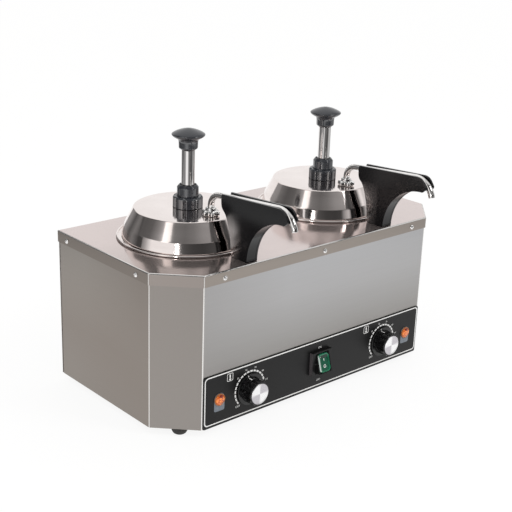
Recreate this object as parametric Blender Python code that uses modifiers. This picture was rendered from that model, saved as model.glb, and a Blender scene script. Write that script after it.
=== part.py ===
"""Counter-top warmer for hot fudge: two lift-out jars, each with a pump, over one heated cabinet.

X is to the right, -Y is the front and +Z is up. The model is in metres and stands on z = 0.
"""

import math

import bmesh
import bpy
from mathutils import Matrix, Vector

# General clearances and finish
GAP = 0.0003  # between two pieces that rest on each other or pass through each other
OVERRUN = 0.003  # how far a cutter passes the face that it opens
SMOOTH_ANGLE = math.radians(35)

# Cabinet
COVER_WIDTH = 0.500
COVER_DEPTH = 0.252
DECK_HEIGHT = 0.217  # floor to the top of the deck
CORNER_CUT = 0.048  # legs of the 45 degree front corners
SHEET = 0.0012
SKIRT_HEIGHT = 0.0154
FOLD_RADIUS = 0.0015
REAR_FLANGE = 0.018
BASE_UPSTAND = 0.012
VENT_COUNT = 8
VENT_LENGTH = 0.040
VENT_WIDTH = 0.004
VENT_PITCH = 0.012

# Feet
FOOT_HEIGHT = 0.010
FOOT_RADIUS = 0.0112
FOOT_TAPER = 0.0010
FOOT_EDGE = 0.0012
FOOT_SIDE_INSET = 0.0353  # edges of the cover to the middle of a foot
FOOT_FRONT_INSET = 0.0293
FOOT_REAR_INSET = 0.0260

# Control panel on the front wall
PANEL_MARGIN = 0.0015  # at each end of the front wall
PANEL_HEIGHT = 0.0713
PANEL_THICKNESS = 0.0015
PANEL_CORNER = 0.002
CONTROL_HEIGHT = 0.046  # centre of the knobs and the lamps above the floor
KNOB_INSET = 0.076  # ends of the panel to the axes of the knobs and the lamps
LAMP_INSET = 0.0255

# Thermostat and its shaft, measured outward from the panel face
THERMOSTAT_RADIUS = 0.017
THERMOSTAT_DEPTH = 0.024
BUSH_RADIUS = 0.0047
BUSH_PROUD = 0.0020
SHAFT_RADIUS = 0.0030
SHAFT_REACH = 0.0120  # beyond the panel face
SHAFT_ENTRY = 0.0200  # behind the panel face
TAB_WIDTH = 0.006
TAB_THICKNESS = 0.0012
TAB_LENGTH = 0.009
TAB_OFFSET = 0.008

# Temperature knob
KNOB_SKIRT_RADIUS = 0.0215
KNOB_SKIRT_THICKNESS = 0.0020
KNOB_BASE_RADIUS = 0.0174
KNOB_TOP_RADIUS = 0.0160
KNOB_PROUD = 0.0203  # panel face to the face of the cap
KNOB_EDGE = 0.0008
KNOB_UNDERCUT_RADIUS = 0.0085
KNOB_UNDERCUT_DEPTH = 0.0030
KNOB_RUNNING_GAP = 0.0005
FLUTE_COUNT = 12
FLUTE_RADIUS = 0.0036
FLUTE_DEPTH = 0.0018
CAP_RADIUS = 0.0140
CAP_THICKNESS = 0.0025
CAP_EDGE = 0.0008
CAP_DISH = 0.0003

# Pilot lamp
LAMP_BARREL_RADIUS = 0.0060
LAMP_BARREL_LENGTH = 0.024
LAMP_BEZEL_RADIUS = 0.0080
LAMP_BEZEL_HEIGHT = 0.0020
LAMP_SEAT_DEPTH = 0.0010
LAMP_LENS_RADIUS = 0.0070
LAMP_LENS_HEIGHT = 0.0036
LAMP_DOME_STEPS = 3

# Mains switch
SWITCH_HEIGHT_CENTRE = 0.0495
SWITCH_WIDTH = 0.0366
SWITCH_HEIGHT = 0.0306
SWITCH_PROUD = 0.0058
SWITCH_EDGE = 0.0010
SWITCH_BODY_WIDTH = 0.0300
SWITCH_BODY_HEIGHT = 0.0292
SWITCH_BODY_DEPTH = 0.0250
ROCKER_WIDTH = 0.0230
ROCKER_FACE = 0.0238  # height of the rocker's face
ROCKER_REACH = 0.0055  # pivot to the rocker's face
ROCKER_BACK = 0.0045  # pivot to the rocker's back
ROCKER_TILT = math.radians(16.5)
ROCKER_CLEARANCE = 0.0004
ROCKER_END_STEPS = 4
PIVOT_PROUD = 0.0050  # pivot in front of the panel face
PIN_RADIUS = 0.0012
PIN_LENGTH = 0.0270
LENS_WIDTH = 0.0200
LENS_HEIGHT = 0.0224
LENS_THICKNESS = 0.0018
LENS_PROUD = 0.0006
LENS_RIM = 0.0016
LENS_DISH = 0.0006

# Mains connection
BUSHING_INSET = 0.080  # side of the cover to the cable hole
BUSHING_HEIGHT = 0.045
BUSHING_FLANGE_RADIUS = 0.011
BUSHING_NECK_RADIUS = 0.0077
BUSHING_BORE_RADIUS = 0.0045
BUSHING_PROUD = 0.0030
BUSHING_INNER = 0.0040
BLOCK_LENGTH = 0.046
BLOCK_WIDTH = 0.018
BLOCK_HEIGHT = 0.016
BLOCK_INSET = 0.037  # side of the cover to the middle of the block
BLOCK_SETBACK = 0.0295  # rear of the cabinet to the middle of the block
BLOCK_SCREW_COUNT = 4
BLOCK_SCREW_RADIUS = 0.0028
BLOCK_SCREW_DEPTH = 0.006

# Food units: place of each pump axis on the deck
UNIT_INWARD = 0.0015  # from the middle of the deck's half towards the other unit
UNIT_REAR_SHARE = 0.2615  # of the room that the jar's rim leaves in front and behind

# Heated well under the deck
WELL_GAP = 0.004  # jar's wall to the outside of the well
WELL_FLANGE = 0.010
WELL_WALL = 0.0010
WELL_FLOOR_GAP = 0.008
WELL_CORNER = 0.008
ELEMENT_RADIUS = 0.0035
ELEMENT_INSET = 0.032
ELEMENT_GAP_ANGLE = math.radians(36)
ELEMENT_LEG = 0.020
ELEMENT_STEPS = 18

# Jar
DECK_HOLE_GAP = 0.002  # well to the edge of the deck's hole
JAR_RADIUS = 0.080
JAR_WALL = 0.0012
JAR_DEPTH = 0.149  # top of the deck to the bottom of the jar
JAR_CORNER = 0.008
JAR_FLANGE = 0.0010
JAR_RIM_WIDTH = 0.0135
BEAD_RADIUS = 0.00135
BEAD_STEPS = 4

# Lid
LID_RISE = 0.040  # top of the deck to the top of the lid
LID_RIM_INSET = 0.0069  # outside of the jar's bead to the foot of the lid
LID_WALL_LEAN = 0.0034
LID_CONE_WIDTH = 0.0123
LID_CONE_HEIGHT = 0.0237
LID_SHEET = 0.0012
LID_EDGE = 0.0022

# Pump body
CYLINDER_RADIUS = 0.020
CYLINDER_BORE = 0.0175
CYLINDER_LENGTH = 0.1375
CYLINDER_CROWN = 0.006  # thickness of the end under the lid
NECK_RADIUS = 0.0155
NECK_BORE = 0.0125
NECK_HEIGHT = 0.0127  # neck, nut and collar above the lid
NUT_RADIUS = 0.01975
NUT_HEIGHT = 0.015
NUT_TOP_RADIUS = 0.0182
NUT_CHAMFER = 0.003
NUT_LIP = 0.002
NUT_GROOVE_COUNT = 8
NUT_GROOVE_WIDTH = 0.0020
NUT_GROOVE_DEPTH = 0.0020
COLLAR_RADIUS = 0.01425
COLLAR_SHOULDER_HEIGHT = 0.0273
COLLAR_HEIGHT = 0.030
COLLAR_TOP_RADIUS = 0.01165
COLLAR_SPIGOT = 0.012
FOOT_BODY_RADIUS = 0.021
FOOT_BODY_HEIGHT = 0.0207
FOOT_BODY_EDGE = 0.002
INLET_RADIUS = 0.009
ARM_WIDTH = 0.016
ARM_HEIGHT = 0.014
BOSS_RADIUS = 0.0095
BOSS_HEIGHT = 0.027
SOCKET_BASE = 0.007
CHANNEL_RADIUS = 0.0035

# Plunger
ROD_RADIUS = 0.00875
ROD_SPIGOT_RADIUS = 0.0050
ROD_SPIGOT_LENGTH = 0.012
PISTON_REST = 0.0465  # top of the cylinder to the piston, with the pump at rest
PISTON_HEIGHT = 0.014
PISTON_GROOVE = 0.0015
PISTON_LAND = 0.005
SPRING_RADIUS = 0.013
SPRING_WIRE = 0.0011
SPRING_TURNS = 5.5
SPRING_STEPS = 8
HANDLE_CLEARANCE = 0.046  # collar to handle, with the pump at rest
HANDLE_END_RADIUS = 0.0092
HANDLE_NECK_HEIGHT = 0.0025
HANDLE_NECK_RADIUS = 0.0119
HANDLE_LIP_START = 0.0109
HANDLE_LIP_START_RADIUS = 0.0124
HANDLE_LIP = 0.0147
HANDLE_LIP_RADIUS = 0.0192
HANDLE_WIDEST = 0.0209
HANDLE_RADIUS = 0.02185
HANDLE_HEIGHT = 0.0282
HANDLE_CROWN_RADIUS = 0.0178
HANDLE_CROWN_DROP = 0.0022

# Discharge: riser, hand nut and spout tube
SPOUT_OFFSET = 0.0482  # in front of the pump axis
RISER_RADIUS = 0.0060
TUBE_RADIUS = 0.00425
TUBE_BORE = 0.0034
TUBE_SOCKET = 0.017  # from the lid's top down to the end of the tube
TUBE_RISE = 0.0125  # from the lid's top up to the first bend
TUBE_FIRST_BEND = 0.0175
TUBE_SLOPE = math.radians(5.1)
TUBE_BEND_SETBACK = 0.0132  # second bend behind the middle of the shroud's arch
TUBE_SECOND_BEND = 0.020
TUBE_DROP_ANGLE = math.radians(75)
TUBE_TIP = 0.0074
TUBE_TIP_SHARE = 0.92
TUBE_BEND_STEPS = 6
UNION_LOBES = 6
UNION_RADIUS = 0.0105
UNION_WAIST = 0.0080
UNION_HEIGHT = 0.0107
UNION_SEAT = 0.0057  # depth of the wider bore from below
UNION_STEPS = 36

# Shroud: a channel of two cheeks and a web, in front of the jar
SHROUD_WIDTH = 0.0175
SHROUD_CHEEK = 0.00275
SHROUD_WEB = 0.0028
SHROUD_FLOOR = 0.0025
SHROUD_GAP = 0.0065  # jar's bead to the foot
SHROUD_FOOT_LENGTH = 0.0295
SHROUD_ARCH_DROP = 0.00533  # start of the tube's slope down to the top of the arch
SHROUD_ARCH_STEPS = 8
SHROUD_REAR_RISE = 0.0240  # corners of the cheek above the start of the tube's first bend
SHROUD_FRONT_RISE = 0.0315
SHROUD_NOSE_RISE = 0.0235
SHROUD_REAR_OVERHANG = 0.0215  # how far the rear edge leans back over the foot
SHROUD_NOSE_SETBACK = 0.015  # from the nose tip back to the end of the top edge
SHROUD_NOSE_REACH = 0.0087  # nose tip in front of the arch's end
SHROUD_NOSE_CORNER = 0.004
SHROUD_WEB_END = 0.0007  # web in front of the arch's centre
SHROUD_REAR_SHARES = ((0.0, 0.0), (0.34, 0.16), (0.647, 0.535), (0.79, 0.95), (1.0, 1.0))
SADDLE_REACH = 0.0305  # in front of the foot
SADDLE_LENGTH = 0.006
SADDLE_RISE = 0.001

# Facets round each kind of turned piece
LID_FACETS = 40
JAR_FACETS = 32
WELL_FACETS = 32
PUMP_FACETS = 24
SMALL_FACETS = 20
FINE_FACETS = 12
FLUTE_FACETS = 8

# Heights and depths that follow from the sizes above
BODY_HALF_WIDTH = COVER_WIDTH / 2 - SHEET - GAP
BODY_HALF_DEPTH = COVER_DEPTH / 2 - SHEET - GAP
FLANGE_PLANE = BODY_HALF_DEPTH - SHEET - GAP
BODY_TOP = DECK_HEIGHT - SHEET - GAP
FOOT_SPREAD = COVER_WIDTH / 2 - FOOT_SIDE_INSET
FOOT_FRONT = COVER_DEPTH / 2 - FOOT_FRONT_INSET
FOOT_REAR = COVER_DEPTH / 2 - FOOT_REAR_INSET
PANEL_FACE = BODY_HALF_DEPTH + GAP + PANEL_THICKNESS
PANEL_WIDTH = COVER_WIDTH - 2 * (CORNER_CUT + PANEL_MARGIN)
KNOB_SPREAD = PANEL_WIDTH / 2 - KNOB_INSET
LAMP_SPREAD = PANEL_WIDTH / 2 - LAMP_INSET
SWITCH_RISE = SWITCH_HEIGHT_CENTRE - CONTROL_HEIGHT
BUSHING_SPREAD = COVER_WIDTH / 2 - BUSHING_INSET
BLOCK_SPREAD = COVER_WIDTH / 2 - BLOCK_INSET
BLOCK_REAR = BODY_HALF_DEPTH - BLOCK_SETBACK
BEAD_OUTER = JAR_RADIUS + JAR_RIM_WIDTH
UNIT_SPREAD = COVER_WIDTH / 4 - UNIT_INWARD
UNIT_REAR = (COVER_DEPTH / 2 - BEAD_OUTER) * UNIT_REAR_SHARE
JAR_BOTTOM = DECK_HEIGHT - JAR_DEPTH
JAR_FLANGE_BOTTOM = DECK_HEIGHT + GAP
WELL_RADIUS = JAR_RADIUS + WELL_GAP
WELL_FLANGE_RADIUS = WELL_RADIUS + WELL_FLANGE
WELL_TOP = BODY_TOP
WELL_BOTTOM = JAR_BOTTOM - WELL_FLOOR_GAP
DECK_HOLE_RADIUS = WELL_RADIUS + DECK_HOLE_GAP
ELEMENT_RING_RADIUS = WELL_RADIUS - ELEMENT_INSET
LID_BOTTOM = JAR_FLANGE_BOTTOM + JAR_FLANGE + GAP
LID_TOP = DECK_HEIGHT + LID_RISE
LID_RIM_RADIUS = BEAD_OUTER - LID_RIM_INSET
LID_BREAK_RADIUS = LID_RIM_RADIUS - LID_WALL_LEAN
LID_BREAK_HEIGHT = LID_TOP - LID_CONE_HEIGHT
LID_TOP_RADIUS = LID_BREAK_RADIUS - LID_CONE_WIDTH
CYLINDER_TOP = LID_TOP - LID_SHEET - GAP
CYLINDER_BOTTOM = CYLINDER_TOP - CYLINDER_LENGTH
NECK_TOP = LID_TOP + NECK_HEIGHT
NUT_BOTTOM = LID_TOP + GAP
NUT_TOP = LID_TOP + NUT_HEIGHT
COLLAR_SHOULDER = LID_TOP + COLLAR_SHOULDER_HEIGHT
COLLAR_TOP = LID_TOP + COLLAR_HEIGHT
FOOT_BODY_TOP = CYLINDER_BOTTOM - GAP
FOOT_BODY_BOTTOM = FOOT_BODY_TOP - FOOT_BODY_HEIGHT
BOSS_TOP = FOOT_BODY_BOTTOM + BOSS_HEIGHT
SOCKET_FLOOR = FOOT_BODY_BOTTOM + SOCKET_BASE
PISTON_TOP = CYLINDER_TOP - PISTON_REST
PISTON_BOTTOM = PISTON_TOP - PISTON_HEIGHT
HANDLE_BOTTOM = COLLAR_TOP + HANDLE_CLEARANCE
RISER_TOP = NUT_BOTTOM + UNION_SEAT - GAP
TUBE_START = LID_TOP - TUBE_SOCKET
TUBE_RISE_TOP = LID_TOP + TUBE_RISE
TUBE_FIRST_TURN = math.radians(90) - TUBE_SLOPE
TUBE_SECOND_TURN = TUBE_SLOPE + TUBE_DROP_ANGLE
TUBE_RUN_HEIGHT = TUBE_RISE_TOP + TUBE_FIRST_BEND * math.sin(TUBE_FIRST_TURN)
SHROUD_BOTTOM = DECK_HEIGHT + GAP
SHROUD_ARCH_RADIUS = TUBE_RUN_HEIGHT - SHROUD_ARCH_DROP - SHROUD_BOTTOM
SHROUD_FOOT_REAR = BEAD_OUTER + SHROUD_GAP  # forward of the pump axis, as the next two are
SHROUD_FOOT_FRONT = SHROUD_FOOT_REAR + SHROUD_FOOT_LENGTH
SADDLE_FORWARD = SHROUD_FOOT_FRONT + SADDLE_REACH
TUBE_RUN_START = SPOUT_OFFSET + TUBE_FIRST_BEND * (1 - math.cos(TUBE_FIRST_TURN))
TUBE_RUN_END = SHROUD_FOOT_FRONT + SHROUD_ARCH_RADIUS - TUBE_BEND_SETBACK
TUBE_RUN = (TUBE_RUN_END - TUBE_RUN_START) / math.cos(TUBE_SLOPE)
SHROUD_TOP_REAR = TUBE_RISE_TOP + SHROUD_REAR_RISE
SHROUD_TOP_FRONT = TUBE_RISE_TOP + SHROUD_FRONT_RISE
SHROUD_NOSE_HEIGHT = TUBE_RISE_TOP + SHROUD_NOSE_RISE


def polar(radius, angle):
    return Vector((radius * math.cos(angle), radius * math.sin(angle)))


# Collections, materials and the common origin

for old in list(bpy.data.objects):
    bpy.data.objects.remove(old, do_unlink=True)

parts = bpy.data.collections.new("hot_fudge_warmer")
cutters = bpy.data.collections.new("cutters")
cutters.hide_render = True
for collection in (parts, cutters):
    bpy.context.scene.collection.children.link(collection)


def material(name, colour, roughness, metallic):
    made = bpy.data.materials.new(name)
    made.use_nodes = True
    shader = made.node_tree.nodes["Principled BSDF"]
    shader.inputs["Base Color"].default_value = (*colour, 1)
    shader.inputs["Roughness"].default_value = roughness
    shader.inputs["Metallic"].default_value = metallic
    return made


BRUSHED = material("brushed_stainless", (0.42, 0.39, 0.36), 0.32, 1)
POLISHED = material("polished_stainless", (0.62, 0.60, 0.57), 0.10, 1)
CHROME = material("bright_chrome", (0.70, 0.70, 0.70), 0.06, 1)
PANEL_BLACK = material("panel_black", (0.030, 0.030, 0.031), 0.45, 0)
GLOSS_BLACK = material("shroud_black", (0.006, 0.006, 0.007), 0.12, 0)
SLATE = material("pump_slate", (0.038, 0.042, 0.050), 0.30, 0)
KNOB_BLACK = material("knob_black", (0.012, 0.012, 0.013), 0.35, 0)
CAP_BRIGHT = material("cap_aluminium", (0.66, 0.67, 0.68), 0.24, 1)
RUBBER = material("foot_rubber", (0.016, 0.016, 0.016), 0.80, 0)
AMBER = material("lamp_amber", (0.85, 0.19, 0.02), 0.15, 0)
LAMP_PALE = material("lamp_bezel", (0.55, 0.54, 0.50), 0.30, 0)
GREEN = material("rocker_green", (0.005, 0.16, 0.07), 0.12, 0)
PHENOLIC = material("phenolic_brown", (0.050, 0.030, 0.020), 0.60, 0)
STEEL = material("spring_steel", (0.45, 0.45, 0.46), 0.25, 1)
ELEMENT_METAL = material("element_sheath", (0.20, 0.18, 0.16), 0.45, 1)
NYLON = material("natural_nylon", (0.62, 0.60, 0.54), 0.45, 0)


def empty(name, location, rotation=(0, 0, 0), parent=None):
    """A named point that pieces hang from, such as a joint axis."""
    made = bpy.data.objects.new(name, None)
    parts.objects.link(made)
    made.location = location
    made.rotation_euler = rotation
    made.parent = parent
    return made


# Shape makers: each gives a mesh in the frame of the piece that will wear it


def rounded(points, radius, steps=2):
    """An open outline with an arc of this radius at each inner corner."""
    made = [Vector(points[0])]
    for before, corner, after in zip(points, points[1:], points[2:]):
        before, corner, after = Vector(before), Vector(corner), Vector(after)
        towards_before = (before - corner).normalized()
        towards_after = (after - corner).normalized()
        turn = math.pi - towards_before.angle(towards_after)
        shorter = min((before - corner).length, (after - corner).length)
        reach = min(radius * math.tan(turn / 2), shorter / 2)
        start = corner + towards_before * reach
        end = corner + towards_after * reach
        for step in range(steps + 1):
            share = step / steps
            near = start.lerp(corner, share)
            far = corner.lerp(end, share)
            made.append(near.lerp(far, share))
    made.append(Vector(points[-1]))
    return made


def ring_of(points, radius, steps=2):
    """A closed outline with every corner rounded."""
    looped = [points[-1], *points, points[0]]
    return rounded(looped, radius, steps)[1:-1]


def mesh_of(shape):
    """The finished mesh of a passing object, welded and smooth where it is round."""
    graph = bpy.context.evaluated_depsgraph_get()
    mesh = bpy.data.meshes.new_from_object(shape.evaluated_get(graph))
    work = bmesh.new()
    work.from_mesh(mesh)
    bmesh.ops.remove_doubles(work, verts=work.verts, dist=GAP / 100)
    work.to_mesh(mesh)
    work.free()
    mesh.shade_smooth()
    mesh.set_sharp_from_angle(angle=SMOOTH_ANGLE)
    mesh.materials.clear()
    bpy.data.objects.remove(shape, do_unlink=True)
    return mesh


def passing(data):
    shape = bpy.data.objects.new("passing", data)
    cutters.objects.link(shape)
    return shape


def turned(profile, facets, wall=None, closed=False):
    """A profile of (radius, height) points turned round Z; a wall makes it a shell."""
    line = bpy.data.meshes.new("profile")
    count = len(profile)
    edges = [(i, i + 1) for i in range(count - 1)]
    if closed:
        edges.append((count - 1, 0))
    line.from_pydata([(radius, 0, height) for radius, height in profile], edges, [])
    shape = passing(line)
    screw = shape.modifiers.new("turn", "SCREW")
    screw.steps = screw.render_steps = facets
    screw.use_merge_vertices = True
    screw.merge_threshold = GAP / 10
    if wall:
        shell = shape.modifiers.new("wall", "SOLIDIFY")
        shell.thickness = wall
        shell.offset = -1
        shell.use_even_offset = True
    return mesh_of(shape)


def flat(outlines, thickness):
    """A plate of this thickness, centred on z = 0; outlines after the first are holes."""
    curve = bpy.data.curves.new("outline", "CURVE")
    curve.dimensions = "2D"
    curve.fill_mode = "BOTH"
    curve.extrude = thickness / 2
    for outline in outlines:
        spline = curve.splines.new("POLY")
        spline.points.add(len(outline) - 1)
        for point, place in zip(spline.points, outline):
            point.co = (place[0], place[1], 0, 1)
        spline.use_cyclic_u = True
    return mesh_of(passing(curve))


def tube(route, radius, sides, end_share=1):
    """A solid rod along a route; bevel_resolution gives 4, 6, 8 or more sides."""
    curve = bpy.data.curves.new("route", "CURVE")
    curve.dimensions = "3D"
    curve.bevel_depth = radius
    curve.bevel_resolution = (sides - 4) // 2
    curve.use_fill_caps = True
    spline = curve.splines.new("POLY")
    spline.points.add(len(route) - 1)
    for point, place in zip(spline.points, route):
        point.co = (*place, 1)
    spline.points[-1].radius = end_share
    return mesh_of(passing(curve))


def block(low, high):
    low, high = Vector(low), Vector(high)
    mesh = bpy.data.meshes.new("block")
    work = bmesh.new()
    middle = Matrix.Translation((low + high) / 2)
    bmesh.ops.create_cube(work, size=1, matrix=middle @ Matrix.Diagonal((*(high - low), 1)))
    work.to_mesh(mesh)
    work.free()
    return mesh


def rod(radius, low, high, facets, middle=(0, 0)):
    """A solid cylinder along Z."""
    mesh = bpy.data.meshes.new("rod")
    work = bmesh.new()
    place = Matrix.Translation((middle[0], middle[1], (low + high) / 2))
    bmesh.ops.create_cone(
        work,
        cap_ends=True,
        segments=facets,
        radius1=radius,
        radius2=radius,
        depth=high - low,
        matrix=place,
    )
    work.to_mesh(mesh)
    work.free()
    mesh.shade_smooth()
    mesh.set_sharp_from_angle(angle=SMOOTH_ANGLE)
    return mesh


def sheet(outline, low, high, wall, floor_at=None, closed=True, inward=1):
    """Folded sheet metal: walls along an outline, with a floor at one end if asked for."""
    mesh = bpy.data.meshes.new("sheet")
    work = bmesh.new()
    lower = [work.verts.new((x, y, low)) for x, y in outline]
    upper = [work.verts.new((x, y, high)) for x, y in outline]
    count = len(outline)
    for i in range(count if closed else count - 1):
        j = (i + 1) % count
        work.faces.new((lower[i], lower[j], upper[j], upper[i]))
    if floor_at == "top":
        work.faces.new(upper)
    if floor_at == "bottom":
        work.faces.new(lower[::-1])
    bmesh.ops.recalc_face_normals(work, faces=work.faces)
    work.to_mesh(mesh)
    work.free()
    shape = passing(mesh)
    fold = shape.modifiers.new("fold", "BEVEL")
    fold.width = FOLD_RADIUS
    fold.segments = 2
    fold.limit_method = "ANGLE"
    shell = shape.modifiers.new("wall", "SOLIDIFY")
    shell.thickness = wall
    shell.offset = -inward
    shell.use_even_offset = True
    return mesh_of(shape)


def moved(mesh, matrix):
    mesh.transform(matrix)
    return mesh


def merged(meshes):
    """Shapes that don't touch, as one cutter."""
    work = bmesh.new()
    for mesh in meshes:
        work.from_mesh(mesh)
    made = bpy.data.meshes.new("merged")
    work.to_mesh(made)
    work.free()
    return made


def piece(name, mesh, finish, parent, location=(0, 0, 0)):
    made = bpy.data.objects.new(name, mesh)
    parts.objects.link(made)
    made.data.materials.append(finish)
    made.parent = parent
    made.location = location
    return made


def shaped(target, mesh, operation, location=(0, 0, 0)):
    """Cut a shape out of a piece, or join it on, with a live Boolean."""
    cutter = bpy.data.objects.new(f"{target.name}_{operation.lower()}", mesh)
    cutters.objects.link(cutter)
    cutter.parent = target
    cutter.location = location
    cutter.hide_render = True
    cutter.display_type = "WIRE"
    boolean = target.modifiers.new(operation.lower(), "BOOLEAN")
    boolean.operation = operation
    boolean.solver = "EXACT"
    boolean.object = cutter


def cut(target, mesh, location=(0, 0, 0)):
    shaped(target, mesh, "DIFFERENCE", location)


def join(target, mesh, location=(0, 0, 0)):
    shaped(target, mesh, "UNION", location)


# The route of the spout tube, in the plane of the pump axis: distance forward, and height


def spout_route(start, end_extra=0):
    points = [Vector((SPOUT_OFFSET, start))]
    centre = Vector((SPOUT_OFFSET + TUBE_FIRST_BEND, TUBE_RISE_TOP))
    for step in range(TUBE_BEND_STEPS + 1):
        angle = math.pi - TUBE_FIRST_TURN * step / TUBE_BEND_STEPS
        points.append(centre + polar(TUBE_FIRST_BEND, angle))
    run = Vector((math.cos(TUBE_SLOPE), math.sin(TUBE_SLOPE)))
    bend_start = points[-1] + run * TUBE_RUN
    centre = bend_start + TUBE_SECOND_BEND * Vector((run.y, -run.x))
    for step in range(TUBE_BEND_STEPS + 1):
        angle = math.pi / 2 + TUBE_SLOPE - TUBE_SECOND_TURN * step / TUBE_BEND_STEPS
        points.append(centre + polar(TUBE_SECOND_BEND, angle))
    down = Vector((math.cos(TUBE_DROP_ANGLE), -math.sin(TUBE_DROP_ANGLE)))
    points.append(points[-1] + down * (TUBE_TIP + end_extra))
    return points


def in_unit(points):
    """Points given forward and up, as places in a unit's own frame."""
    return [(0, -forward, height) for forward, height in points]


SPOUT_POINTS = spout_route(TUBE_START)
TIP_DIRECTION = (SPOUT_POINTS[-1] - SPOUT_POINTS[-2]).normalized()
FRONT_REACH = SPOUT_POINTS[-1].x - TIP_DIRECTION.y * TUBE_RADIUS * TUBE_TIP_SHARE - UNIT_REAR
REAR_REACH = BODY_HALF_DEPTH + BUSHING_PROUD
ORIGIN_SHIFT = (FRONT_REACH - REAR_REACH) / 2

origin = empty("origin", (0, ORIGIN_SHIFT, 0))


# Cabinet: a wrap, a deck with a skirt, a rear panel and a base, all folded from sheet


def front_cut_outline(inset, rear):
    """The cabinet's plan, this far inside the cover's, with the two front corners cut off."""
    wide = COVER_WIDTH / 2 - inset
    deep = COVER_DEPTH / 2 - inset
    corner = CORNER_CUT - inset * (2 - math.sqrt(2))
    return [
        (-wide, rear),
        (-wide, corner - deep),
        (corner - wide, -deep),
        (wide - corner, -deep),
        (wide, corner - deep),
        (wide, rear),
    ]


def make_cabinet():
    inset = SHEET + GAP
    flange_end = BODY_HALF_WIDTH - REAR_FLANGE
    walls = front_cut_outline(inset, FLANGE_PLANE)
    wrap = [(-flange_end, FLANGE_PLANE), *walls, (flange_end, FLANGE_PLANE)]
    wrap_mesh = sheet(wrap, FOOT_HEIGHT, BODY_TOP, SHEET, closed=False)
    body = piece("cabinet_body", wrap_mesh, BRUSHED, origin)
    front = -BODY_HALF_DEPTH - OVERRUN
    behind = -BODY_HALF_DEPTH + SHEET + OVERRUN
    facing = Matrix.Rotation(math.radians(90), 4, "X")
    holes = []
    for across, radius in control_holes():
        hole = moved(rod(radius + GAP, -behind, -front, FINE_FACETS), facing)
        holes.append(moved(hole, Matrix.Translation((across, 0, CONTROL_HEIGHT))))
    half_width = SWITCH_BODY_WIDTH / 2 + GAP
    half_height = SWITCH_BODY_HEIGHT / 2 + GAP
    low = (-half_width, front, SWITCH_HEIGHT_CENTRE - half_height)
    high = (half_width, behind, SWITCH_HEIGHT_CENTRE + half_height)
    holes.append(block(low, high))
    cut(body, merged(holes))

    deck = front_cut_outline(0, COVER_DEPTH / 2)
    cover_mesh = sheet(deck, DECK_HEIGHT - SKIRT_HEIGHT, DECK_HEIGHT, SHEET, floor_at="top")
    cover = piece("top_cover", cover_mesh, BRUSHED, origin)
    for side in (-1, 1):
        opening = rod(DECK_HOLE_RADIUS, BODY_TOP - OVERRUN, DECK_HEIGHT + OVERRUN, WELL_FACETS)
        cut(cover, opening, (side * UNIT_SPREAD, UNIT_REAR, 0))

    low = (-BODY_HALF_WIDTH, BODY_HALF_DEPTH - SHEET, FOOT_HEIGHT)
    high = (BODY_HALF_WIDTH, BODY_HALF_DEPTH, BODY_TOP)
    rear = piece("rear_panel", block(low, high), BRUSHED, origin)
    hole = rod(BUSHING_NECK_RADIUS + GAP, -OVERRUN, SHEET + OVERRUN, FINE_FACETS)
    backward = Matrix.Rotation(math.radians(-90), 4, "X")
    cut(rear, moved(hole, backward), (BUSHING_SPREAD, BODY_HALF_DEPTH - SHEET, BUSHING_HEIGHT))

    base_inset = inset + SHEET + GAP
    floor_outline = front_cut_outline(base_inset, FLANGE_PLANE - SHEET - GAP)
    base_mesh = sheet(floor_outline, FOOT_HEIGHT, FOOT_HEIGHT + BASE_UPSTAND, SHEET, floor_at="bottom")
    base = piece("base_plate", base_mesh, BRUSHED, origin)
    slots = []
    for i in range(VENT_COUNT):
        across = (i - (VENT_COUNT - 1) / 2) * VENT_PITCH
        low = (across - VENT_WIDTH / 2, -VENT_LENGTH / 2, FOOT_HEIGHT - OVERRUN)
        high = (across + VENT_WIDTH / 2, VENT_LENGTH / 2, FOOT_HEIGHT + SHEET + OVERRUN)
        slots.append(block(low, high))
    cut(base, merged(slots))


def make_feet():
    top = FOOT_HEIGHT - GAP
    profile = [
        (0, top),
        (FOOT_RADIUS, top),
        (FOOT_RADIUS - FOOT_TAPER, FOOT_EDGE),
        (FOOT_RADIUS - FOOT_TAPER - FOOT_EDGE, 0),
        (0, 0),
    ]
    places = {"front": -FOOT_FRONT, "rear": FOOT_REAR}
    for row, along in places.items():
        for side, sign in SIDES.items():
            name = f"foot_{row}_{side}"
            piece(name, turned(profile, FINE_FACETS), RUBBER, origin, (sign * FOOT_SPREAD, along, 0))


# Controls: everything here is placed from the panel's face, with local Z pointing out of it


def control_holes():
    """Where the panel and the wall are drilled, and for what radius."""
    for sign in SIDES.values():
        yield sign * KNOB_SPREAD, BUSH_RADIUS
        yield sign * LAMP_SPREAD, LAMP_BARREL_RADIUS


def rectangle(width, height, middle=(0, 0)):
    x, y = middle
    return [
        (x - width / 2, y - height / 2),
        (x + width / 2, y - height / 2),
        (x + width / 2, y + height / 2),
        (x - width / 2, y + height / 2),
    ]


def circle(radius, facets, middle=(0, 0)):
    return [Vector(middle) + polar(radius, math.tau * i / facets) for i in range(facets)]


def make_panel():
    rise = FOOT_HEIGHT + PANEL_HEIGHT / 2 - CONTROL_HEIGHT
    outlines = [ring_of(rectangle(PANEL_WIDTH, PANEL_HEIGHT, (0, rise)), PANEL_CORNER)]
    for across, radius in control_holes():
        outlines.append(circle(radius + GAP, FINE_FACETS, (across, 0)))
    opening = (SWITCH_BODY_WIDTH + 2 * GAP, SWITCH_BODY_HEIGHT + 2 * GAP)
    outlines.append(rectangle(*opening, (0, SWITCH_RISE)))
    plate = flat(outlines, PANEL_THICKNESS)
    piece("control_panel", plate, PANEL_BLACK, panel_face, (0, 0, -PANEL_THICKNESS / 2))


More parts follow.
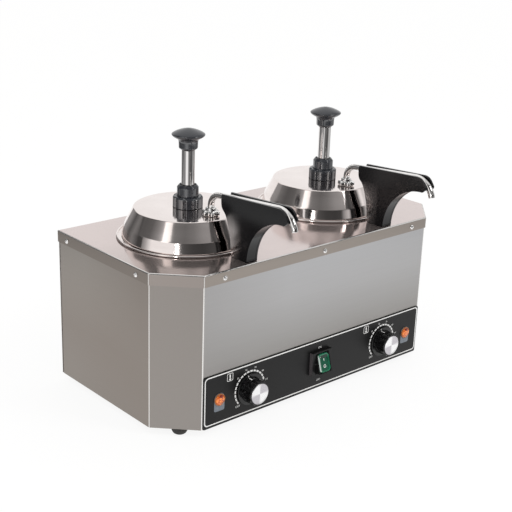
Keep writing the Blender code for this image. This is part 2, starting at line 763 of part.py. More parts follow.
def make_thermostat(side, dial):
    wall_back = PANEL_THICKNESS + GAP + SHEET + GAP
    profile = [
        (0, BUSH_PROUD),
        (BUSH_RADIUS, BUSH_PROUD),
        (BUSH_RADIUS, -wall_back),
        (THERMOSTAT_RADIUS, -wall_back),
        (THERMOSTAT_RADIUS, -wall_back - THERMOSTAT_DEPTH),
        (0, -wall_back - THERMOSTAT_DEPTH),
    ]
    body = piece(f"thermostat_{side}", turned(profile, SMALL_FACETS), PHENOLIC, dial)
    cut(body, rod(SHAFT_RADIUS + GAP, -SHAFT_ENTRY - GAP, BUSH_PROUD + OVERRUN, FINE_FACETS))
    back = -wall_back - THERMOSTAT_DEPTH
    for sign in SIDES.values():
        across = sign * TAB_OFFSET
        low = (across - TAB_WIDTH / 2, -TAB_THICKNESS / 2, back - TAB_LENGTH)
        high = (across + TAB_WIDTH / 2, TAB_THICKNESS / 2, back + TAB_THICKNESS)
        join(body, block(low, high))
    shaft = rod(SHAFT_RADIUS, -SHAFT_ENTRY, SHAFT_REACH, FINE_FACETS)
    piece(f"thermostat_shaft_{side}", shaft, STEEL, dial)


def make_knob(side, dial):
    bottom = KNOB_RUNNING_GAP
    skirt_top = bottom + KNOB_SKIRT_THICKNESS
    top = KNOB_PROUD - CAP_THICKNESS / 2
    cap_seat = KNOB_PROUD - CAP_THICKNESS - GAP
    cap_side = CAP_RADIUS + GAP
    undercut = bottom + KNOB_UNDERCUT_DEPTH
    socket_end = SHAFT_REACH + GAP
    profile = [
        (0, cap_seat),
        (cap_side, cap_seat),
        (cap_side, top),
        (KNOB_TOP_RADIUS - KNOB_EDGE, top),
        (KNOB_TOP_RADIUS, top - KNOB_EDGE),
        (KNOB_BASE_RADIUS, skirt_top),
        (KNOB_SKIRT_RADIUS - KNOB_EDGE, skirt_top),
        (KNOB_SKIRT_RADIUS, skirt_top - KNOB_EDGE),
        (KNOB_SKIRT_RADIUS, bottom),
        (KNOB_UNDERCUT_RADIUS, bottom),
        (KNOB_UNDERCUT_RADIUS, undercut),
        (SHAFT_RADIUS + GAP, undercut),
        (SHAFT_RADIUS + GAP, socket_end),
        (0, socket_end),
    ]
    knob = piece(f"temperature_knob_{side}", turned(profile, JAR_FACETS), KNOB_BLACK, dial)
    flutes = []
    for i in range(FLUTE_COUNT):
        angle = math.tau * (i + 1 / 2) / FLUTE_COUNT
        middle = polar(KNOB_BASE_RADIUS + FLUTE_RADIUS - FLUTE_DEPTH, angle)
        flutes.append(rod(FLUTE_RADIUS, skirt_top + GAP, top + OVERRUN, FLUTE_FACETS, middle))
    cut(knob, merged(flutes))

    face = KNOB_PROUD
    cap_profile = [
        (0, face - CAP_DISH),
        (CAP_RADIUS - 2 * CAP_EDGE, face - CAP_DISH),
        (CAP_RADIUS - CAP_EDGE, face),
        (CAP_RADIUS, face - CAP_EDGE),
        (CAP_RADIUS, face - CAP_THICKNESS),
        (0, face - CAP_THICKNESS),
    ]
    piece(f"knob_cap_{side}", turned(cap_profile, SMALL_FACETS), CAP_BRIGHT, dial)


def make_lamp(side, dial):
    seat = LAMP_BEZEL_HEIGHT - LAMP_SEAT_DEPTH
    profile = [
        (0, seat),
        (LAMP_LENS_RADIUS + GAP, seat),
        (LAMP_LENS_RADIUS + GAP, LAMP_BEZEL_HEIGHT),
        (LAMP_BEZEL_RADIUS, LAMP_BEZEL_HEIGHT),
        (LAMP_BEZEL_RADIUS, GAP),
        (LAMP_BARREL_RADIUS, GAP),
        (LAMP_BARREL_RADIUS, -LAMP_BARREL_LENGTH),
        (0, -LAMP_BARREL_LENGTH),
    ]
    piece(f"indicator_lamp_{side}", turned(profile, SMALL_FACETS), LAMP_PALE, dial)
    bottom = seat + GAP
    shoulder = LAMP_BEZEL_HEIGHT
    crown = LAMP_LENS_HEIGHT - shoulder
    dome = [(0, LAMP_LENS_HEIGHT)]
    for step in range(1, LAMP_DOME_STEPS + 1):
        angle = math.pi / 2 * step / LAMP_DOME_STEPS
        dome.append((LAMP_LENS_RADIUS * math.sin(angle), shoulder + crown * math.cos(angle)))
    dome += [(LAMP_LENS_RADIUS, bottom), (0, bottom)]
    piece(f"lamp_lens_{side}", turned(dome, SMALL_FACETS), AMBER, dial)


def make_switch():
    frame = empty("switch_centre", (0, SWITCH_RISE, 0), parent=panel_face)
    bezel = ring_of(rectangle(SWITCH_WIDTH, SWITCH_HEIGHT), SWITCH_EDGE)
    rise = SWITCH_PROUD - GAP
    housing = piece("switch_housing", flat([bezel], rise), PANEL_BLACK, frame, (0, 0, GAP + rise / 2))
    drop = -GAP - rise / 2
    low = (-SWITCH_BODY_WIDTH / 2, -SWITCH_BODY_HEIGHT / 2, -SWITCH_BODY_DEPTH)
    high = (SWITCH_BODY_WIDTH / 2, SWITCH_BODY_HEIGHT / 2, SWITCH_PROUD / 2)
    join(housing, block(low, high), (0, 0, drop))
    swing = math.hypot(ROCKER_FACE / 2, ROCKER_REACH)
    pocket_height = swing + ROCKER_CLEARANCE
    pocket_width = ROCKER_WIDTH / 2 + ROCKER_CLEARANCE
    low = (-pocket_width, -pocket_height, PIVOT_PROUD - swing - ROCKER_CLEARANCE)
    high = (pocket_width, pocket_height, SWITCH_PROUD + OVERRUN)
    cut(housing, block(low, high), (0, 0, drop))
    across = Matrix.Rotation(math.radians(90), 4, "Y")
    hole_end = PIN_LENGTH / 2 + GAP
    pin_hole = moved(rod(PIN_RADIUS + GAP, -hole_end, hole_end, FINE_FACETS), across)
    cut(housing, pin_hole, (0, 0, PIVOT_PROUD + drop))

    pivot = empty("rocker_pivot", (0, 0, PIVOT_PROUD), (-ROCKER_TILT, 0, 0), frame)
    edge_angle = math.atan2(ROCKER_REACH, ROCKER_FACE / 2)
    back_angle = -math.asin(ROCKER_BACK / swing)
    side = []
    for step in range(ROCKER_END_STEPS + 1):
        side.append(polar(swing, edge_angle + (back_angle - edge_angle) * step / ROCKER_END_STEPS))
    outline = [*side, *[Vector((-point.x, point.y)) for point in reversed(side)]]
    # The outline is drawn with the face up, then laid so that its length runs up the panel.
    laid = Matrix(((0, 0, 1, 0), (1, 0, 0, 0), (0, 1, 0, 0), (0, 0, 0, 1)))
    rocker = piece("switch_rocker", moved(flat([outline], ROCKER_WIDTH), laid), KNOB_BLACK, pivot)
    lens_back = ROCKER_REACH + LENS_PROUD - LENS_THICKNESS
    low = (-LENS_WIDTH / 2 - GAP, -LENS_HEIGHT / 2 - GAP, lens_back - GAP)
    high = (LENS_WIDTH / 2 + GAP, LENS_HEIGHT / 2 + GAP, ROCKER_REACH + OVERRUN)
    cut(rocker, block(low, high))
    bore_end = ROCKER_WIDTH / 2 + OVERRUN
    cut(rocker, moved(rod(PIN_RADIUS + GAP, -bore_end, bore_end, FINE_FACETS), across))
    pin = moved(rod(PIN_RADIUS, -PIN_LENGTH / 2, PIN_LENGTH / 2, FINE_FACETS), across)
    piece("rocker_pin", pin, STEEL, frame, (0, 0, PIVOT_PROUD))
    face = ROCKER_REACH + LENS_PROUD
    low = (-LENS_WIDTH / 2, -LENS_HEIGHT / 2, face - LENS_THICKNESS)
    lens = piece("rocker_lens", block(low, (LENS_WIDTH / 2, LENS_HEIGHT / 2, face)), GREEN, pivot)
    inner_width = LENS_WIDTH / 2 - LENS_RIM
    inner_height = LENS_HEIGHT / 2 - LENS_RIM
    low = (-inner_width, -inner_height, face - LENS_DISH)
    high = (inner_width, inner_height, face + OVERRUN)
    cut(lens, block(low, high))


def make_connection():
    backward = (math.radians(-90), 0, 0)
    place = (BUSHING_SPREAD, BODY_HALF_DEPTH, BUSHING_HEIGHT)
    hole = empty("cable_hole", place, backward, origin)
    inner = -SHEET - GAP
    profile = [
        (BUSHING_BORE_RADIUS, BUSHING_PROUD),
        (BUSHING_FLANGE_RADIUS, BUSHING_PROUD),
        (BUSHING_FLANGE_RADIUS, GAP),
        (BUSHING_NECK_RADIUS, GAP),
        (BUSHING_NECK_RADIUS, inner),
        (BUSHING_FLANGE_RADIUS, inner),
        (BUSHING_FLANGE_RADIUS, inner - BUSHING_INNER),
        (BUSHING_BORE_RADIUS, inner - BUSHING_INNER),
    ]
    piece("cable_bushing", turned(profile, FINE_FACETS, closed=True), RUBBER, hole)
    seat = FOOT_HEIGHT + SHEET + GAP
    low = (-BLOCK_LENGTH / 2, -BLOCK_WIDTH / 2, 0)
    high = (BLOCK_LENGTH / 2, BLOCK_WIDTH / 2, BLOCK_HEIGHT)
    place = (BLOCK_SPREAD, BLOCK_REAR, seat)
    terminals = piece("terminal_block", block(low, high), NYLON, origin, place)
    pitch = BLOCK_LENGTH / BLOCK_SCREW_COUNT
    wells = []
    for i in range(BLOCK_SCREW_COUNT):
        middle = ((i - (BLOCK_SCREW_COUNT - 1) / 2) * pitch, 0)
        floor = BLOCK_HEIGHT - BLOCK_SCREW_DEPTH
        wells.append(rod(BLOCK_SCREW_RADIUS, floor, BLOCK_HEIGHT + OVERRUN, FINE_FACETS, middle))
    cut(terminals, merged(wells))


# Food unit: well, jar, lid, pump and spout, all on the pump's axis


def make_well(side, unit):
    flange = WELL_TOP - WELL_WALL
    corner = [(WELL_RADIUS, flange), (WELL_RADIUS, WELL_BOTTOM), (0, WELL_BOTTOM)]
    profile = [(WELL_FLANGE_RADIUS, flange), *rounded(corner, WELL_CORNER)]
    piece(f"well_{side}", turned(profile, WELL_FACETS, wall=WELL_WALL), POLISHED, unit)
    height = WELL_BOTTOM - GAP - ELEMENT_RADIUS
    sweep = math.tau - ELEMENT_GAP_ANGLE
    start = ELEMENT_GAP_ANGLE / 2 - math.pi / 2
    route = []
    for step in range(ELEMENT_STEPS + 1):
        place = polar(ELEMENT_RING_RADIUS, start + sweep * step / ELEMENT_STEPS)
        route.append((*place, height))
    first, last = Vector(route[0]), Vector(route[-1])
    outward = Vector((0, -ELEMENT_LEG, 0))
    route = [first + outward, *route, last + outward]
    piece(f"heating_element_{side}", tube(route, ELEMENT_RADIUS, 6), ELEMENT_METAL, unit)


def make_jar(side, unit):
    flange_top = JAR_FLANGE_BOTTOM + JAR_FLANGE
    inner_radius = JAR_RADIUS - JAR_WALL
    floor = JAR_BOTTOM + JAR_WALL
    inside = [(0, floor), (inner_radius, floor), (inner_radius, flange_top)]
    outside = [(JAR_RADIUS, JAR_FLANGE_BOTTOM), (JAR_RADIUS, JAR_BOTTOM), (0, JAR_BOTTOM)]
    inside = rounded(inside, JAR_CORNER - JAR_WALL)
    outside = rounded(outside, JAR_CORNER)
    centre = Vector((BEAD_OUTER - BEAD_RADIUS, JAR_FLANGE_BOTTOM + BEAD_RADIUS))
    start = math.asin((flange_top - centre.y) / BEAD_RADIUS)
    start = math.pi - start
    bead = []
    for step in range(BEAD_STEPS + 1):
        bead.append(centre + polar(BEAD_RADIUS, start + (-math.pi / 2 - start) * step / BEAD_STEPS))
    piece(f"jar_{side}", turned([*inside, *bead, *outside], JAR_FACETS), POLISHED, unit)


def make_lid(side, unit):
    hole = NECK_RADIUS + GAP
    corners = [
        (hole, LID_TOP),
        (LID_TOP_RADIUS, LID_TOP),
        (LID_BREAK_RADIUS, LID_BREAK_HEIGHT),
        (LID_RIM_RADIUS, LID_BOTTOM),
    ]
    shell = turned(rounded(corners, LID_EDGE, 1), LID_FACETS, wall=LID_SHEET)
    lid = piece(f"lid_{side}", shell, POLISHED, unit)
    riser_hole = rod(RISER_RADIUS + GAP, LID_TOP - LID_SHEET - OVERRUN, LID_TOP + OVERRUN, FINE_FACETS)
    cut(lid, riser_hole, (0, -SPOUT_OFFSET, 0))


def make_pump(side, unit):
    profile = [
        (NECK_RADIUS, NECK_TOP),
        (NECK_RADIUS, CYLINDER_TOP),
        (CYLINDER_RADIUS, CYLINDER_TOP),
        (CYLINDER_RADIUS, CYLINDER_BOTTOM),
        (CYLINDER_BORE, CYLINDER_BOTTOM),
        (CYLINDER_BORE, CYLINDER_TOP - CYLINDER_CROWN),
        (NECK_BORE, CYLINDER_TOP - CYLINDER_CROWN),
        (NECK_BORE, NECK_TOP),
    ]
    piece(f"pump_cylinder_{side}", turned(profile, SMALL_FACETS, closed=True), POLISHED, unit)

    seat = NECK_TOP + GAP
    nut_bore = NECK_RADIUS + GAP
    lip_bore = COLLAR_RADIUS + GAP
    profile = [
        (NUT_TOP_RADIUS, NUT_TOP),
        (NUT_RADIUS, NUT_TOP - NUT_CHAMFER),
        (NUT_RADIUS, NUT_BOTTOM),
        (nut_bore, NUT_BOTTOM),
        (nut_bore, NUT_TOP - NUT_LIP),
        (lip_bore, NUT_TOP - NUT_LIP),
        (lip_bore, NUT_TOP),
    ]
    nut = piece(f"lock_nut_{side}", turned(profile, PUMP_FACETS, closed=True), SLATE, unit)
    grooves = []
    for i in range(NUT_GROOVE_COUNT):
        groove = block(
            (NUT_RADIUS - NUT_GROOVE_DEPTH, -NUT_GROOVE_WIDTH / 2, NUT_BOTTOM - OVERRUN),
            (NUT_RADIUS + OVERRUN, NUT_GROOVE_WIDTH / 2, NUT_TOP + OVERRUN),
        )
        turn = Matrix.Rotation(math.tau * (i + 1 / 2) / NUT_GROOVE_COUNT, 4, "Z")
        grooves.append(moved(groove, turn))
    cut(nut, merged(grooves))

    rod_bore = ROD_RADIUS + GAP
    spigot = NECK_BORE - GAP
    profile = [
        (COLLAR_TOP_RADIUS, COLLAR_TOP),
        (COLLAR_RADIUS, COLLAR_SHOULDER),
        (COLLAR_RADIUS, seat),
        (spigot, seat),
        (spigot, seat - COLLAR_SPIGOT),
        (rod_bore, seat - COLLAR_SPIGOT),
        (rod_bore, COLLAR_TOP),
    ]
    piece(f"guide_collar_{side}", turned(profile, PUMP_FACETS, closed=True), SLATE, unit)

    profile = [
        (0, FOOT_BODY_TOP),
        (FOOT_BODY_RADIUS, FOOT_BODY_TOP),
        (FOOT_BODY_RADIUS, FOOT_BODY_BOTTOM + FOOT_BODY_EDGE),
        (FOOT_BODY_RADIUS - FOOT_BODY_EDGE, FOOT_BODY_BOTTOM),
        (0, FOOT_BODY_BOTTOM),
    ]
    foot = piece(f"pump_foot_{side}", turned(profile, SMALL_FACETS), SLATE, unit)
    low = (-ARM_WIDTH / 2, -SPOUT_OFFSET, FOOT_BODY_BOTTOM + FOOT_BODY_EDGE)
    join(foot, block(low, (ARM_WIDTH / 2, 0, FOOT_BODY_BOTTOM + FOOT_BODY_EDGE + ARM_HEIGHT)))
    join(foot, rod(BOSS_RADIUS, FOOT_BODY_BOTTOM, BOSS_TOP, SMALL_FACETS), (0, -SPOUT_OFFSET, 0))
    cut(foot, rod(INLET_RADIUS, FOOT_BODY_BOTTOM - OVERRUN, FOOT_BODY_TOP + OVERRUN, FINE_FACETS))
    socket = rod(RISER_RADIUS + GAP, SOCKET_FLOOR, BOSS_TOP + OVERRUN, FINE_FACETS)
    cut(foot, socket, (0, -SPOUT_OFFSET, 0))
    forward = Matrix.Rotation(math.radians(90), 4, "X")
    channel = moved(rod(CHANNEL_RADIUS, 0, SPOUT_OFFSET, FINE_FACETS), forward)
    cut(foot, channel, (0, 0, SOCKET_FLOOR + CHANNEL_RADIUS / 2))


def make_plunger(side, unit):
    top = HANDLE_BOTTOM - GAP
    profile = [
        (0, top + ROD_SPIGOT_LENGTH),
        (ROD_SPIGOT_RADIUS, top + ROD_SPIGOT_LENGTH),
        (ROD_SPIGOT_RADIUS, top),
        (ROD_RADIUS, top),
        (ROD_RADIUS, PISTON_TOP + GAP),
        (0, PISTON_TOP + GAP),
    ]
    piece(f"plunger_rod_{side}", turned(profile, SMALL_FACETS), POLISHED, unit)
    bore = ROD_SPIGOT_RADIUS + GAP
    profile = [
        (0, HANDLE_HEIGHT),
        (HANDLE_CROWN_RADIUS, HANDLE_HEIGHT - HANDLE_CROWN_DROP),
        (HANDLE_RADIUS, HANDLE_WIDEST),
        (HANDLE_LIP_RADIUS, HANDLE_LIP),
        (HANDLE_LIP_START_RADIUS, HANDLE_LIP_START),
        (HANDLE_NECK_RADIUS, HANDLE_NECK_HEIGHT),
        (HANDLE_END_RADIUS, 0),
        (bore, 0),
        (bore, ROD_SPIGOT_LENGTH),
        (0, ROD_SPIGOT_LENGTH),
    ]
    profile = [*rounded(profile[:5], HANDLE_NECK_HEIGHT, 1), *profile[5:]]
    piece(f"plunger_knob_{side}", turned(profile, PUMP_FACETS), SLATE, unit, (0, 0, HANDLE_BOTTOM))
    radius = CYLINDER_BORE - GAP
    profile = [
        (0, PISTON_TOP),
        (radius, PISTON_TOP),
        (radius, PISTON_TOP - PISTON_LAND),
        (radius - PISTON_GROOVE, PISTON_TOP - PISTON_LAND),
        (radius - PISTON_GROOVE, PISTON_BOTTOM + PISTON_LAND),
        (radius, PISTON_BOTTOM + PISTON_LAND),
        (radius, PISTON_BOTTOM),
        (0, PISTON_BOTTOM),
    ]
    piece(f"piston_{side}", turned(profile, SMALL_FACETS), NYLON, unit)
    low = CYLINDER_BOTTOM + SPRING_WIRE
    high = PISTON_BOTTOM - GAP - SPRING_WIRE
    count = round(SPRING_TURNS * SPRING_STEPS)
    route = []
    for step in range(count + 1):
        place = polar(SPRING_RADIUS, math.tau * step / SPRING_STEPS)
        route.append((*place, low + (high - low) * step / count))
    piece(f"return_spring_{side}", tube(route, SPRING_WIRE, 4), STEEL, unit)


def make_discharge(side, unit):
    top = (RISER_RADIUS, RISER_TOP)
    bottom = SOCKET_FLOOR + GAP
    bore = TUBE_RADIUS + GAP
    profile = [top, (RISER_RADIUS, bottom), (bore, bottom), (bore, RISER_TOP)]
    riser = turned(profile, FINE_FACETS, closed=True)
    piece(f"riser_tube_{side}", riser, POLISHED, unit, (0, -SPOUT_OFFSET, 0))

    outline = []
    middle = (UNION_RADIUS + UNION_WAIST) / 2
    swell = (UNION_RADIUS - UNION_WAIST) / 2
    for step in range(UNION_STEPS):
        angle = math.tau * step / UNION_STEPS
        outline.append(polar(middle + swell * math.cos(UNION_LOBES * angle), angle))
    place = (0, -SPOUT_OFFSET, NUT_BOTTOM + UNION_HEIGHT / 2)
    union = piece(f"union_nut_{side}", flat([outline], UNION_HEIGHT), CHROME, unit, place)
    half = UNION_HEIGHT / 2
    cut(union, rod(RISER_RADIUS + GAP, -half - OVERRUN, UNION_SEAT - half, FINE_FACETS))
    cut(union, rod(bore, -half, half + OVERRUN, FINE_FACETS))

    outer = tube(in_unit(SPOUT_POINTS), TUBE_RADIUS, 10, TUBE_TIP_SHARE)
    spout = piece(f"spout_tube_{side}", outer, POLISHED, unit)
    inner_route = in_unit(spout_route(TUBE_START - OVERRUN, OVERRUN))
    cut(spout, tube(inner_route, TUBE_BORE, 6, TUBE_TIP_SHARE))


def shroud_outline():
    """Side view of the shroud's cheek, as distances forward and heights."""
    centre = Vector((SHROUD_FOOT_FRONT + SHROUD_ARCH_RADIUS, SHROUD_BOTTOM))
    arch = []
    for step in range(SHROUD_ARCH_STEPS + 1):
        angle = math.pi - math.pi / 2 * step / SHROUD_ARCH_STEPS
        arch.append(centre + polar(SHROUD_ARCH_RADIUS, angle))
    tip = centre.x + SHROUD_NOSE_REACH
    nose = [
        arch[-1],
        (tip, SHROUD_NOSE_HEIGHT),
        (tip - SHROUD_NOSE_SETBACK, SHROUD_TOP_FRONT),
        (SHROUD_FOOT_REAR - SHROUD_REAR_OVERHANG, SHROUD_TOP_REAR),
    ]
    height = SHROUD_TOP_REAR - SHROUD_BOTTOM
    rear = []
    for rise_share, lean_share in reversed(SHROUD_REAR_SHARES[:-1]):
        forward = SHROUD_FOOT_REAR - lean_share * SHROUD_REAR_OVERHANG
        rear.append((forward, SHROUD_BOTTOM + rise_share * height))
    return [*arch[:-1], *rounded(nose, SHROUD_NOSE_CORNER), *rear]


def channel_outline():
    """Side view of the space between the cheeks, open at the back, the top and the nose."""
    centre = Vector((SHROUD_FOOT_FRONT + SHROUD_ARCH_RADIUS, SHROUD_BOTTOM))
    radius = SHROUD_ARCH_RADIUS + SHROUD_WEB
    start = math.asin(SHROUD_FLOOR / radius)
    arch = []
    for step in range(SHROUD_ARCH_STEPS + 1):
        angle = math.pi - start - (math.pi / 2 - start) * step / SHROUD_ARCH_STEPS
        arch.append(centre + polar(radius, angle))
    web_end = centre.x + SHROUD_WEB_END
    front = centre.x + SHROUD_NOSE_REACH + OVERRUN
    rear = SHROUD_FOOT_REAR - SHROUD_REAR_OVERHANG - OVERRUN
    top = SHROUD_TOP_FRONT + OVERRUN
    below = SHROUD_BOTTOM + SHROUD_ARCH_RADIUS - OVERRUN
    return [
        (rear, arch[0].y),
        *arch,
        (web_end, arch[-1].y),
        (web_end, below),
        (front, below),
        (front, top),
        (rear, top),
    ]


def make_shroud(side, unit):
    # The side views are drawn forward and up, then stood on edge across the unit.
    stood = Matrix(((0, 0, -1, 0), (-1, 0, 0, 0), (0, 1, 0, 0), (0, 0, 0, 1)))
    cheeks = moved(flat([shroud_outline()], SHROUD_WIDTH), stood)
    shroud = piece(f"spout_shroud_{side}", cheeks, GLOSS_BLACK, unit)
    channel_width = SHROUD_WIDTH - 2 * SHROUD_CHEEK
    cut(shroud, moved(flat([channel_outline()], channel_width), stood))
    run = Vector((math.cos(TUBE_SLOPE), math.sin(TUBE_SLOPE)))
    height = TUBE_RUN_HEIGHT + (SADDLE_FORWARD - TUBE_RUN_START) * math.tan(TUBE_SLOPE)
    arch_back = SHROUD_FOOT_FRONT + SHROUD_ARCH_RADIUS - SADDLE_FORWARD
    web = SHROUD_BOTTOM + math.sqrt(SHROUD_ARCH_RADIUS**2 - arch_back**2)
    half = channel_width / 2 + SHROUD_CHEEK / 2
    low = (-half, -SADDLE_FORWARD - SADDLE_LENGTH / 2, web + SHROUD_WEB / 2)
    high = (half, -SADDLE_FORWARD + SADDLE_LENGTH / 2, height + SADDLE_RISE)
    join(shroud, block(low, high))
    reach = SADDLE_LENGTH + OVERRUN
    seat = [
        (0, -SADDLE_FORWARD + run.x * reach, height - run.y * reach),
        (0, -SADDLE_FORWARD - run.x * reach, height + run.y * reach),
    ]
    cut(shroud, tube(seat, TUBE_RADIUS + GAP, 12))


SIDES = {"left": -1, "right": 1}

make_cabinet()
make_feet()

panel_face = empty("panel_face", (0, -PANEL_FACE, CONTROL_HEIGHT), (math.radians(90), 0, 0), origin)
make_panel()
make_switch()
make_connection()
for side_name, side_sign in SIDES.items():
    dial_axis = empty(f"dial_axis_{side_name}", (side_sign * KNOB_SPREAD, 0, 0), parent=panel_face)
    lamp_axis = empty(f"lamp_axis_{side_name}", (side_sign * LAMP_SPREAD, 0, 0), parent=panel_face)
    make_thermostat(side_name, dial_axis)
    make_knob(side_name, dial_axis)
    make_lamp(side_name, lamp_axis)
    pump_axis = empty(f"pump_axis_{side_name}", (side_sign * UNIT_SPREAD, UNIT_REAR, 0), parent=origin)
    make_well(side_name, pump_axis)
    make_jar(side_name, pump_axis)
    make_lid(side_name, pump_axis)
    make_pump(side_name, pump_axis)
    make_plunger(side_name, pump_axis)
    make_discharge(side_name, pump_axis)
    make_shroud(side_name, pump_axis)
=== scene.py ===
import math

import bmesh
import bpy
from mathutils import Matrix, Vector


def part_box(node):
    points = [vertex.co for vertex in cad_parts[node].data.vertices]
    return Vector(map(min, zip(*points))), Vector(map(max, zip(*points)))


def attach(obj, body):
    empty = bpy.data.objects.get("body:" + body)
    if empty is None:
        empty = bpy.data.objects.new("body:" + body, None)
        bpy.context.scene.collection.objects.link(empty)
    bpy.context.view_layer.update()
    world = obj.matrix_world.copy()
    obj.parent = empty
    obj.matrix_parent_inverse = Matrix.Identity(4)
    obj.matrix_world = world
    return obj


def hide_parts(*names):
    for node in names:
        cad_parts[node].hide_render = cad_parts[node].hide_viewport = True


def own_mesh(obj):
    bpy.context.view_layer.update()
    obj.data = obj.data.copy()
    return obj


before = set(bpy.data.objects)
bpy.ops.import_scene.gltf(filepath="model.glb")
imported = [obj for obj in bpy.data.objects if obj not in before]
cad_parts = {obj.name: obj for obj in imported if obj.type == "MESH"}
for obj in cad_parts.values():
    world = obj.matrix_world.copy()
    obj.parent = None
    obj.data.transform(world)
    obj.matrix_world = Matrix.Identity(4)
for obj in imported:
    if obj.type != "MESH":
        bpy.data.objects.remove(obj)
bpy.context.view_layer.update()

SIDES = ("left", "right")
MM = 0.001

# Studio: a white sweep under soft light, seen from the front left and from above. Cards stand
# round the set and hang above it, out of the picture. Polished steel mirrors them as the dark
# bands between its white highlights.
CAMERA_PLACE = Vector((-0.96135, -1.024615, 0.668))
CAMERA_AZIMUTH, CAMERA_ELEVATION, CAMERA_ROLL = -41.96, 19.39, 1.95
CAMERA_LENS = 76.03
SKY_LEVEL = 0.80
SWEEP_REACH = 60
SWEEP_GLOW = 1.04
SWEEP_OWN_SHARE = 0.84
WALL_AWAY = 2.6
WALL_MIDDLE = 0.25
WALL_STEPS = 72


def linked(name, data):
    """A new object for this data, in the scene."""
    made = bpy.data.objects.new(name, data)
    bpy.context.scene.collection.objects.link(made)
    return made


def turn_by(degrees, axis):
    return Matrix.Rotation(math.radians(degrees), 4, axis)


camera = linked("camera", bpy.data.cameras.new("camera"))
camera.data.lens = CAMERA_LENS
camera.data.clip_start = 0.05
camera.data.clip_end = 400
aim = turn_by(CAMERA_AZIMUTH, "Z") @ turn_by(90 - CAMERA_ELEVATION, "X") @ turn_by(CAMERA_ROLL, "Z")
camera.matrix_world = Matrix.Translation(CAMERA_PLACE) @ aim
bpy.context.scene.camera = camera
bpy.context.scene.view_settings.view_transform = "Standard"


class Wire:
    """One socket of a material's nodes. Sums and products of wires and numbers add the nodes."""

    def __init__(self, tree, socket=None):
        self.tree = tree
        self.socket = socket

    def node(self, kind, settings=(), inputs=(), output=0):
        """Any node: its settings first, then the values or wires of its sockets."""
        made = self.tree.nodes.new("ShaderNode" + kind)
        for name, value in dict(settings).items():
            if name == "stops":
                ramp = made.color_ramp.elements
                ramp[0].position = value[0][0]
                ramp[1].position = value[-1][0]
                for position, _ in value[1:-1]:
                    ramp.new(position)
                for element, (_, shade) in zip(ramp, value):
                    grey = isinstance(shade, (int, float))
                    element.color = (shade, shade, shade, 1) if grey else (*shade, 1)
            else:
                setattr(made, name, value)
        for name, value in dict(inputs).items():
            if isinstance(value, Wire):
                self.tree.links.new(value.socket, made.inputs[name])
            else:
                made.inputs[name].default_value = value
        return Wire(self.tree, made.outputs[output] if made.outputs else None)

    def math(self, operation, first, second=0.0):
        return self.node("Math", {"operation": operation}, {0: first, 1: second})

    def __add__(self, other):
        return self.math("ADD", self, other)

    def __sub__(self, other):
        return self.math("SUBTRACT", self, other)

    def __rsub__(self, other):
        return self.math("SUBTRACT", other, self)

    def __mul__(self, other):
        return self.math("MULTIPLY", self, other)

    def __truediv__(self, other):
        return self.math("DIVIDE", self, other)

    def __abs__(self):
        return self.math("ABSOLUTE", self)

    __radd__ = __add__
    __rmul__ = __mul__

    def most(self, other):
        return self.math("MAXIMUM", self, other)

    def stretched(self, x, y, z):
        """These coordinates, scaled along each axis."""
        return self.node("VectorMath", {"operation": "MULTIPLY"}, {0: self, 1: (x, y, z)})

    def length(self):
        return self.node("VectorMath", {"operation": "LENGTH"}, {0: self}, "Value")

    def split(self):
        return [self.node("SeparateXYZ", inputs={0: self}, output=i) for i in range(3)]

    def noise(self, scale, detail=2.0, roughness=0.5):
        inputs = {"Vector": self, "Scale": scale, "Detail": detail, "Roughness": roughness}
        return self.node("TexNoise", inputs=inputs)

    def tracks(self, scale, detail):
        """Noise along this one value, for the fine rings that turning leaves."""
        inputs = {"W": self * scale, "Detail": detail}
        return self.node("TexNoise", {"noise_dimensions": "1D"}, inputs)

    def mix(self, first, second):
        """From the first colour to the second, by this value."""
        first = first if isinstance(first, Wire) else (*first, 1)
        second = second if isinstance(second, Wire) else (*second, 1)
        return self.node("Mix", {"data_type": "RGBA"}, {0: self, 6: first, 7: second}, 2)

    def ramp(self, *stops):
        return self.node("ValToRGB", {"stops": stops}, {0: self})

    def places(self):
        """Object coordinates, in metres."""
        return self.node("TexCoord", output="Object")

    def facing(self):
        """The three parts of the direction that the surface faces."""
        return self.node("TexCoord", output="Normal").split()

    def bump(self, strength, distance):
        inputs = {"Height": self, "Strength": strength, "Distance": distance}
        return self.node("Bump", inputs=inputs)


def surface(name, values, paint):
    """A material: values are the same all over, and paint(wire) gives what changes."""
    made = bpy.data.materials.new(name)
    made.use_nodes = True
    shader = made.node_tree.nodes["Principled BSDF"]
    painted = paint(Wire(made.node_tree))
    for socket, value in {**values, **painted}.items():
        if isinstance(value, Wire):
            made.node_tree.links.new(value.socket, shader.inputs[socket])
        elif isinstance(value, tuple):
            shader.inputs[socket].default_value = (*value, 1)
        else:
            shader.inputs[socket].default_value = value
    return made


def seen_rays(wire):
    """1 for rays from the camera and for those that a mirror or glass sends on."""
    camera = wire.node("LightPath", output="Is Camera Ray")
    glossy = wire.node("LightPath", output="Is Glossy Ray")
    return camera.most(glossy).most(wire.node("LightPath", output="Is Transmission Ray"))


def light_world():
    """White where the camera or a mirror sees it, and a plain level elsewhere."""
    world = bpy.data.worlds.new("studio")
    bpy.context.scene.world = world
    world.use_nodes = True
    world.node_tree.nodes.clear()
    wire = Wire(world.node_tree)
    level = wire.node("Background", inputs={"Color": (1.0, 0.99, 0.98, 1), "Strength": SKY_LEVEL})
    white = wire.node("Background", inputs={"Color": (1, 1, 1, 1), "Strength": 1.0})
    both = wire.node("MixShader", inputs={0: seen_rays(wire), 1: level, 2: white})
    wire.node("OutputWorld", inputs={"Surface": both})


